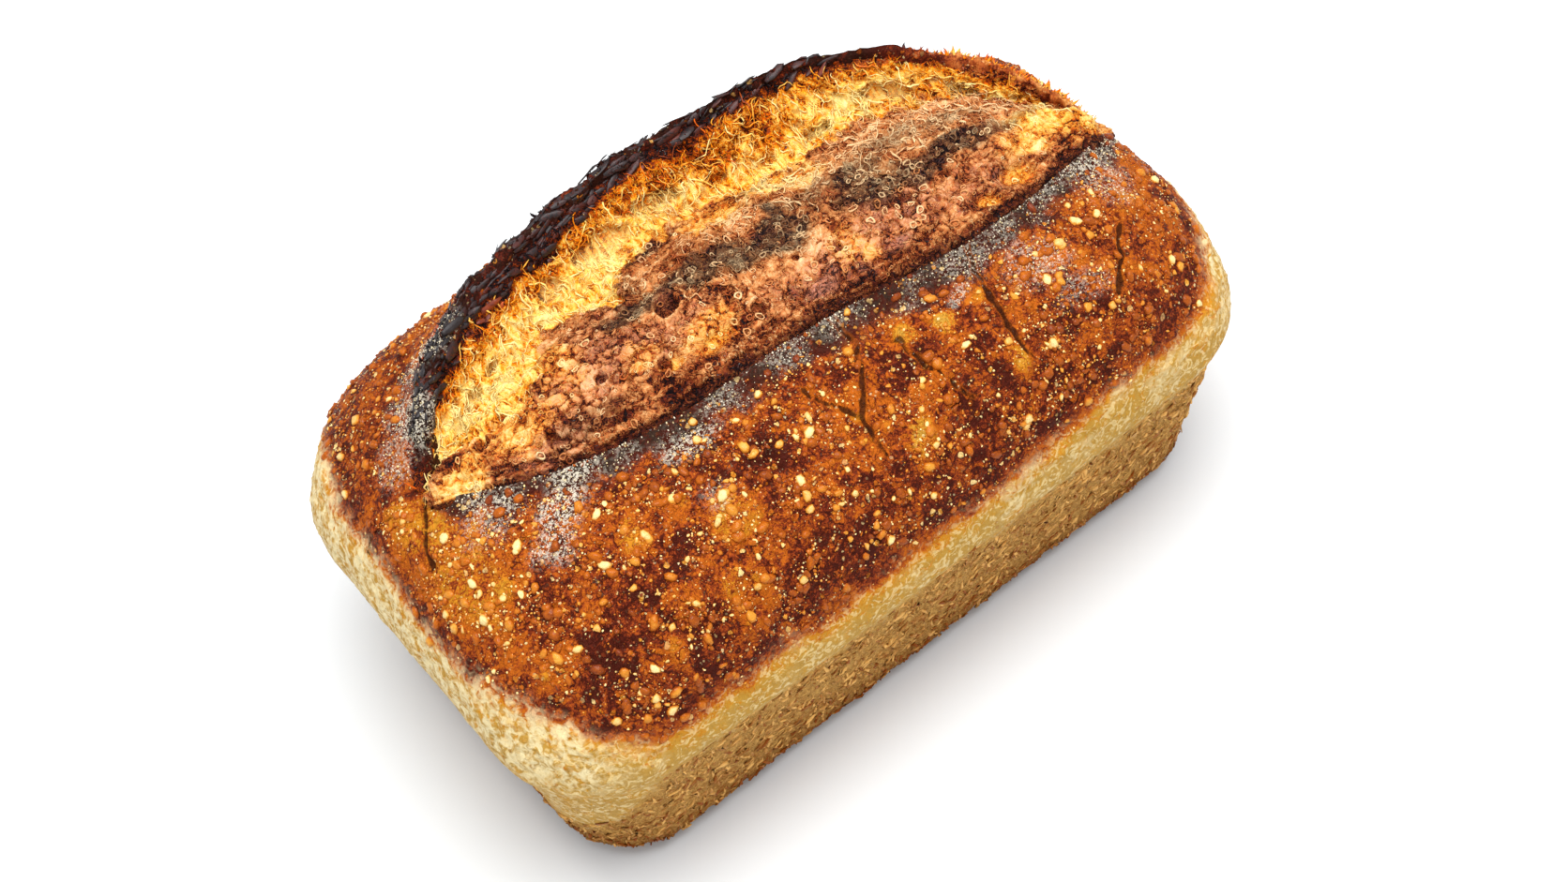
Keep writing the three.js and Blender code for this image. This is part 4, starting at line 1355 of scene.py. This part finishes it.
def inside_fields(points, q, crag):
    """The torn inside's relief in millimetres, and the values that its material reads."""
    x, y, z = points.T
    strength = slash_strength(x)
    free = smooth(INSIDE_START, 0.03, q) * smooth(INSIDE_END, 0.955, q) * smooth(0, 0.2, strength)
    crest_gap = np.interp(q, [EAR_FACE_START, INSIDE_END], [EAR_FACE_LENGTH, 0.0]) * strength
    edge = y - bloom_edge_y(x) - 3.5 * noise(points, 7, 40) - 2.6 * noise(points, 2.5, 39)
    valley = smooth(-1.4, 2.0, edge)
    brink = np.exp(-(((edge + 1.5) / 1.6) ** 2)) * smooth(-0.3, 0.3, noise(points, 11, 64))
    bloom = 1 - valley
    tan = patches(points, TAN_PATCHES, 3, 80)
    rosy = patches(points, ROSY_PATCHES, 3, 81)
    orange = patches(points, ORANGE_BLOOM, 3, 82)
    soot = patches(points, SOOT_PATCHES, 3, 83)

    # Threads run across the slash. They are strongest where it tore last.
    drift = warped(points, 7, 2.4, 43)
    threads = ridges(drift * [1, 0.3, 0.45], 1.7, 46)
    fine_threads = ridges(drift * [1, 0.4, 0.5], 0.95, 47)
    thready = np.clip(valley + tan + 0.35, 0, 1)
    gap, second, lot = cells(warped(points, 4, 2.0, 52) * [0.6, 1, 1], 3.3, 41)
    edges = smooth(0.8, 0.1, second - gap)
    scaly = bloom * (1 - 0.75 * tan) * (0.35 + 0.65 * smooth(-0.35, 0.3, noise(points, 12, 67)))
    # Beside the lip the skin lies in folds that run along it.
    from_lip = y - lip_y(x)
    by_lip = bloom * smooth(17, 5, from_lip) * smooth(0.2, 0.7, strength) * (1 - 0.6 * orange)
    folds = ridges(warped(np.stack([0.2 * x, from_lip, 0.3 * z], axis=1), 4, 1.3, 65), 2.6, 66)

    pit, rim, hole = np.zeros(len(points)), np.zeros(len(points)), np.zeros(len(points))
    near_x, near_y, _ = warped(points, 3, 0.5, 56).T
    for centre_x, centre_y, radius in PITS:
        away = np.hypot(near_x - centre_x, near_y - centre_y) / radius
        pit = np.maximum(pit, smooth(1.0, 0.55, away) * radius)
        rim = np.maximum(rim, np.exp(-(((away - 1.1) / 0.16) ** 2)))
    for centre_x, centre_y, along, across, turn in HOLES:
        c, s = math.cos(math.radians(turn)), math.sin(math.radians(turn))
        dx, dy = near_x - centre_x, near_y - centre_y
        away = np.hypot((dx * c + dy * s) / along, (dy * c - dx * s) / across)
        hole = np.maximum(hole, smooth(1.1, 0.75, away))
    gap4, second4, lot4 = cells(drift, 4.2, 57)
    pocket = valley * (lot4 > 0.45) * smooth(0.5, 1.6, second4 - gap4) * (1 - hole) * smooth(3, 7, crest_gap)
    web = ridges(warped(points, 3, 1.2, 61), 1.5, 62)
    hollow = patches(points, HOLLOWS, 0.8, 90)
    pillow = patches(points, PILLOWS, 0.8, 91)
    # Painted shade: the crevice along the lip is painted dark, through a darker bake and the soot value.
    crevice_shade = smooth(0.1, 0.045, q + 0.02 * noise(points, 6, 58))
    relief = (
        crag * (noise(points, 9, 48) + 0.45 * noise(points, 4, 49)) * (1 - 0.7 * pillow)
        + thready * (0.8 * threads + 0.35 * fine_threads)
        + scaly * (0.6 * (1 - edges) + 0.25 * fine_threads)
        + 1.1 * by_lip * folds
        + (0.6 * rim - pit)
        - (4.5 * hole + 1.8 * pocket + 2.0 * hollow)
        + 1.2 * pillow
        + 1.4 * web * hole
        + 1.2 * bloom
    )

    crest_share = (crest_gap + 1.5 * noise(points, 4, 54)) / burn_reach(x)
    burn = smooth(1.0, 0.3, crest_share)
    gold = 0.11 + 0.12 * noise(points, 9, 51) + 0.25 * (1 - threads) ** 2 - 0.12 * fine_threads
    gold += 0.3 * burn + 0.24 * smooth(0.3, 0.05, crest_share)
    gold += 0.17 * smooth(0.0, 0.5, noise(points, 6, 59) + 0.8 * smooth(7, 1, edge))
    brown = 0.45 + 0.18 * noise(points, 10, 53) + 0.14 * noise(points, 3, 55) + 0.18 * (lot - 0.5)
    # Painted shade: beside the lip the grooves between the raised folds are painted darker.
    brown -= 0.15 * orange + 0.03 * tan + by_lip * (0.45 * folds - 0.4)
    # Painted shade: the low gaps between the bloom's raised scales are painted darker.
    brown += scaly * (0.4 * edges**2 - 0.06) - (1 - scaly) * bloom * 0.24 * threads - 0.08 * fine_threads
    bake = mix(gold, brown, bloom) + 0.2 * brink
    bake = mix(bake, 0.3, 0.8 * hollow)
    bake = mix(bake, 0.8, 0.8 * crevice_shade)
    # Painted shade darkens the sunken pits, and a painted highlight makes their raised rims paler.
    bake = np.where(pit > 0.3, mix(bake, 0.8, 0.7), bake) - 0.14 * rim
    # Painted shade: the deep holes are painted darker, except on the paler threads of their web.
    bake += hole * (0.25 * (1 - web) - 0.1)
    reach = char_reach(x)
    ragged_gap = crest_gap + 2.2 * noise(points, 5, 50) + 1.2 * noise(points, 2, 63)
    char = smooth(reach + 1.2, reach - 1.0, ragged_gap) * smooth(0.1, 0.4, strength)
    singed = singed_share(points, *INSIDE_SINGED)
    bake = mix(bake, 0.99 - 0.45 * singed, char)
    strewn = free * (1 - char)
    dark_bloom = np.clip(1.3 * soot, 0, 1) * bloom
    torn = np.clip(0.5 * valley + 0.7 * tan * bloom + hole, 0, 1 - 0.4 * burn)
    curly = np.clip(0.12 + 0.7 * soot + 0.1 * rosy, 0, 1)
    values = {
        "bake": np.clip(bake, 0, 1),
        "skin": mix(bloom * (1 - 0.8 * orange) * (1 - 0.7 * hollow), singed, char),
        "crumb": np.clip(0.9 * hole + 0.25 * pocket, 0, 1) * (1 - burn),
        "rosy": np.clip(0.6 * rosy * bloom * (1 - edges) + 0.6 * pillow, 0, 1) * (1 - crevice_shade),
        # The soot value holds the bloom's soot and the painted shade of the crevice by the lip.
        "soot": np.clip(dark_bloom * (0.85 + 0.15 * edges) + 0.6 * crevice_shade, 0, 1),
        "threads": strewn * (1 - 0.8 * dark_bloom) * torn,
        "curls": strewn * bloom * curly * (1 - pillow) * (1 - crevice_shade),
        "fringe": smooth(3.2, 1.0, crest_gap) * smooth(0.1, 0.3, strength) * (0.3 + 0.7 * smooth(10, 60, x)),
        "scaly": char * smooth(0.3, 0.6, strength) * (1 - singed),
    }
    return relief * free, values


class LOAF_OT_inside(bpy.types.Operator):
    """Make the torn inside of the slash: crevice, bloom, valley and the ear's inner face"""

    bl_idname = "loaf.inside"
    bl_label = "Torn inside"

    def execute(self, context):
        scene = context.scene
        points, faces, q, on_top = inside_body()
        mesh = make_mesh("loaf_inside", points, faces, inside_material(scene.loaf_colours))
        relief, values = inside_fields(points, q, scene.loaf_sizes.crag / MM)
        displace(mesh, points, relief * on_top)
        for name, value in values.items():
            store(mesh, name, value * (on_top if name in ("threads", "curls", "fringe", "scaly") else 1))
        finish_piece(place("loaf_inside", mesh))
        return {"FINISHED"}


class LOAF_OT_blisters(bpy.types.Operator):
    """Strew the crust's round bubbles"""

    bl_idname = "loaf.blisters"
    bl_label = "Blisters"

    def execute(self, context):
        host = bpy.data.objects["loaf_crust"]
        bubble = turned_shape("bubble", [(1.0, -0.3), (0.95, 0.15), (0.62, 0.45)], 0.57, 7)
        piece = strew(
            "loaf_blisters", host, bubble, bead_material(), "beady", 3,
            Density=4.6e5, Spacing=0.75 * MM, Smallest=0.4 * MM, Largest=1.7 * MM, Rarity=4.0,
            Ruffle=1.5 * MM, Ripple=1.4 * MM,
        )  # fmt: skip
        finish_piece(piece)
        dot = turned_shape("dot", [(1.0, -0.4), (0.8, 0.3)], 0.7, 5)
        specks = strew(
            "loaf_specks", host, dot, speck_material(), "beady", 4,
            Density=8e5, Spacing=0.5 * MM, Smallest=0.12 * MM, Largest=0.4 * MM, Rarity=2.0,
        )  # fmt: skip
        finish_piece(specks)
        return {"FINISHED"}


class LOAF_OT_wall_flakes(bpy.types.Operator):
    """Strew the short worm-like flakes of the tin-shaped wall"""

    bl_idname = "loaf.wall_flakes"
    bl_label = "Wall flakes"

    def execute(self, context):
        host = bpy.data.objects["loaf_crust"]
        flake = turned_shape("flake", [(1.0, -0.4), (0.75, 0.35)], 0.55, 6)
        piece = strew(
            "loaf_wall_flakes", host, flake, flake_material(context.scene.loaf_colours), "flaky", 5,
            Density=2.4e5, Spacing=1.2 * MM, Smallest=0.45 * MM, Largest=1.05 * MM, Shape=(2.4, 0.5, 0.55),
            Direction=(0.4, 0.3, 1.0), Wander=1.2, Ruffle=2.6 * MM, Ripple=1.9 * MM,
        )  # fmt: skip
        finish_piece(piece)
        return {"FINISHED"}


class LOAF_OT_ear_scales(bpy.types.Operator):
    """Strew the charred scales on the ear and the ragged fringe on its crest"""

    bl_idname = "loaf.ear_scales"
    bl_label = "Ear scales and fringe"

    def execute(self, context):
        charred, thorny = scale_material(), thorn_material()
        for name, host in (("loaf_ear_scales", "loaf_crust"), ("loaf_ear_face_scales", "loaf_inside")):
            scale = turned_shape("scale", [(1.0, -0.5), (0.8, 0.15)], 0.4, 7)
            piece = strew(
                name, bpy.data.objects[host], scale, charred, "scaly", 7,
                Density=1.8e5, Spacing=1.4 * MM, Smallest=0.8 * MM, Largest=1.9 * MM, Rarity=2.0,
                Shape=(2.6, 0.75, 0.25), Direction=(1.0, 0.2, 0.0), Wander=0.35, Tilt=0.04,
                Ruffle=1.1 * MM, Ripple=1.8 * MM,
            )  # fmt: skip
            finish_piece(piece)
        for name, host in (("loaf_ear_fringe", "loaf_inside"), ("loaf_ear_thorns", "loaf_crust")):
            thorn = turned_shape("thorn", [(1.0, -1.0), (0.6, 1.5), (0.3, 2.8)], 4.0, 4)
            fringe = strew(
                name, bpy.data.objects[host], thorn, thorny, "fringe", 8,
                Density=6e5, Spacing=1.0 * MM, Smallest=0.25 * MM, Largest=0.62 * MM, Rarity=1.6, Tilt=0.5,
                Ruffle=1.6 * MM,
            )  # fmt: skip
            finish_piece(fringe)
        return {"FINISHED"}


class LOAF_OT_strands(bpy.types.Operator):
    """Strew the torn threads and the small curls of the bloom"""

    bl_idname = "loaf.strands"
    bl_label = "Strands and curls"

    def execute(self, context):
        host = bpy.data.objects["loaf_inside"]
        material = strand_material(context.scene.loaf_colours)
        t = np.linspace(-1, 1, 8)
        bend = np.stack([t, 0.3 * np.sin(2.8 * t), 0.2 * (1 - t * t) - 0.07], axis=1)
        thread = tube_shape("thread", bend, 0.06 * (1 - 0.6 * t**4))
        piece = strew(
            "loaf_strands", host, thread, material, "threads", 11,
            Density=7e5, Spacing=0.7 * MM, Smallest=1.2 * MM, Largest=3.8 * MM, Rarity=1.6,
            Direction=(0.25, 1.0, 0.0), Wander=0.9, Ruffle=3.0 * MM, Ripple=2.4 * MM,
        )  # fmt: skip
        finish_piece(piece)
        a = np.linspace(0, 2 * np.pi, 9, endpoint=False)
        circle = np.stack([np.cos(a), 0.8 * np.sin(a), 0.12 + 0.1 * np.cos(2 * a)], axis=1)
        ring = tube_shape("curl", circle, np.full(9, 0.28), closed=True)
        curls = strew(
            "loaf_curls", host, ring, material, "curls", 12,
            Density=9e5, Spacing=0.9 * MM, Smallest=0.35 * MM, Largest=1.1 * MM, Rarity=2.0,
            Ruffle=1.6 * MM, Ripple=1.8 * MM,
        )  # fmt: skip
        finish_piece(curls)
        return {"FINISHED"}


class LOAF_OT_flour(bpy.types.Operator):
    """Strew grains of flour along the lip and in patches"""

    bl_idname = "loaf.flour"
    bl_label = "Flour"

    def execute(self, context):
        host = bpy.data.objects["loaf_crust"]
        grain = turned_shape("grain", [(1.0, -0.5)], 1.0, 5)
        piece = strew(
            "loaf_flour", host, grain, flour_material(context.scene.loaf_colours), "dusty", 13,
            Density=1.8e6, Spacing=0.5 * MM, Smallest=0.12 * MM, Largest=0.42 * MM, Rarity=2.5,
        )  # fmt: skip
        finish_piece(piece)
        return {"FINISHED"}


# The camera looks at this height on the loaf's axis, moved right and down in its view, in millimetres.
AIM_HEIGHT = 50
AIM_RIGHT = 0.96
AIM_DOWN = 1.8
SENSOR_WIDTH = 36
# The floor reaches this far in metres, and its soft patches are this wide in millimetres.
FLOOR_REACH = 6.0
FLOOR_PATCH = 400
FLOOR_TONES = ((0.81, 0.84, 0.86, 1), (0.83, 0.86, 0.88, 1))
# The round lamps: name, width and place in metres. Both look at the same height in the loaf.
LAMPS = [("key", 1.0, (0.1, -0.16, 1.2)), ("glint", 0.14, (-0.25, 0.15, 1.1))]
LAMP_AIM_HEIGHT = 60


class LOAF_OT_stage(bpy.types.Operator):
    """Set up the camera, the pale floor and the soft light"""

    bl_idname = "loaf.stage"
    bl_label = "Stage"

    def execute(self, context):
        scene, stage = context.scene, context.scene.loaf_stage
        a, e, r = stage.azimuth, stage.elevation, stage.roll
        back = Vector((math.sin(a) * math.cos(e), -math.cos(a) * math.cos(e), math.sin(e)))
        right = Vector((math.cos(a), math.sin(a), 0))
        up = back.cross(right)
        across = math.cos(r) * right + math.sin(r) * up
        upward = -math.sin(r) * right + math.cos(r) * up
        target = Vector((0, 0, AIM_HEIGHT * MM)) + across * AIM_RIGHT * MM - upward * AIM_DOWN * MM
        data = bpy.data.cameras.new("camera")
        data.sensor_width, data.lens = SENSOR_WIDTH, stage.lens
        camera = bpy.data.objects.new("camera", data)
        scene.collection.objects.link(camera)
        turn = Matrix((across, upward, back)).transposed().to_4x4()
        camera.matrix_world = Matrix.Translation(target + back * stage.distance) @ turn
        scene.camera = camera

        floor = bpy.data.meshes.new("floor")
        corners = [(x * FLOOR_REACH, y * FLOOR_REACH, 0) for x, y in ((-1, -1), (1, -1), (1, 1), (-1, 1))]
        floor.from_pydata(corners, [], [(0, 1, 2, 3)])
        material, tree, shader, where = surface("Pale floor", 0.9, 0.0)
        pale = blend(tree, mottle(tree, where, FLOOR_PATCH, 1), *FLOOR_TONES)
        tree.links.new(pale, shader.inputs["Base Color"])
        floor.materials.append(material)
        ground = bpy.data.objects.new("floor", floor)
        scene.collection.objects.link(ground)

        world = bpy.data.worlds.new("studio")
        scene.world = world
        world.use_nodes = True
        background = world.node_tree.nodes["Background"]
        background.inputs["Color"].default_value = (1, 1, 1, 1)
        background.inputs["Strength"].default_value = stage.fill
        for name, width, location in LAMPS:
            light = bpy.data.lights.new(name, "AREA")
            light.shape, light.size, light.energy = "DISK", width, getattr(stage, name)
            lamp = bpy.data.objects.new(name, light)
            lamp.location = location
            aim = Vector((0, 0, LAMP_AIM_HEIGHT * MM)) - lamp.location
            lamp.rotation_euler = aim.to_track_quat("-Z", "Y").to_euler()
            scene.collection.objects.link(lamp)
        scene.view_settings.view_transform = "Standard"
        return {"FINISHED"}


class LOAF_PT_panel(bpy.types.Panel):
    """The loaf's pieces and settings"""

    bl_idname = "LOAF_PT_panel"
    bl_label = "Sandwich Loaf"
    bl_space_type = "VIEW_3D"
    bl_region_type = "UI"
    bl_category = "Loaf"

    def draw(self, context):
        for operator in STEPS:
            self.layout.operator(operator.bl_idname)


STEPS = [
    LOAF_OT_crust, LOAF_OT_inside, LOAF_OT_blisters, LOAF_OT_wall_flakes, LOAF_OT_ear_scales, LOAF_OT_strands,
    LOAF_OT_flour, LOAF_OT_stage,
]  # fmt: skip
GROUPS = {"loaf_colours": LoafColours, "loaf_sizes": LoafSizes, "loaf_stage": LoafStage}


def register():
    for cls in [*GROUPS.values(), *STEPS, LOAF_PT_panel]:
        bpy.utils.register_class(cls)
    for name, cls in GROUPS.items():
        setattr(bpy.types.Scene, name, PointerProperty(type=cls))


def unregister():
    for name in GROUPS:
        delattr(bpy.types.Scene, name)
    for cls in reversed([*GROUPS.values(), *STEPS, LOAF_PT_panel]):
        bpy.utils.unregister_class(cls)


def make_groups(c):
    """The node groups that several pieces share."""
    crust_stops = [
        (0.0, c.cream), (0.14, c.straw), (0.28, c.gold), (0.42, c.amber), (0.58, c.russet),
        (0.74, c.chestnut), (0.88, c.umber), (1.0, c.char),
    ]  # fmt: skip
    torn_stops = [
        (0.0, c.crumb), (0.15, c.crumb_gold), (0.34, c.crumb_orange), (0.5, c.burnt), (0.66, c.russet),
        (0.78, c.chestnut), (0.9, c.umber), (1.0, c.soot),
    ]  # fmt: skip
    bloom_stops = [
        (0.0, c.peach), (0.25, c.bloom_light), (0.5, c.bloom), (0.72, c.bloom_dark), (0.88, c.umber),
        (1.0, c.soot),
    ]  # fmt: skip
    bead_stops = [(0.0, c.bead), (0.3, c.honey), (0.58, c.toffee), (0.85, c.chestnut), (1.0, c.umber)]
    colour_scale("Crust colour", crust_stops)
    colour_scale("Torn colour", torn_stops)
    colour_scale("Bloom colour", bloom_stops)
    colour_scale("Bead colour", bead_stops)
    bead_group()
    wrinkle_group()
    strew_tree()


def main():
    register()
    make_groups(bpy.context.scene.loaf_colours)
    bpy.ops.loaf.crust()
    bpy.ops.loaf.inside()
    bpy.ops.loaf.blisters()
    bpy.ops.loaf.wall_flakes()
    bpy.ops.loaf.ear_scales()
    bpy.ops.loaf.strands()
    bpy.ops.loaf.flour()
    bpy.ops.loaf.stage()


if __name__ == "__main__":
    main()
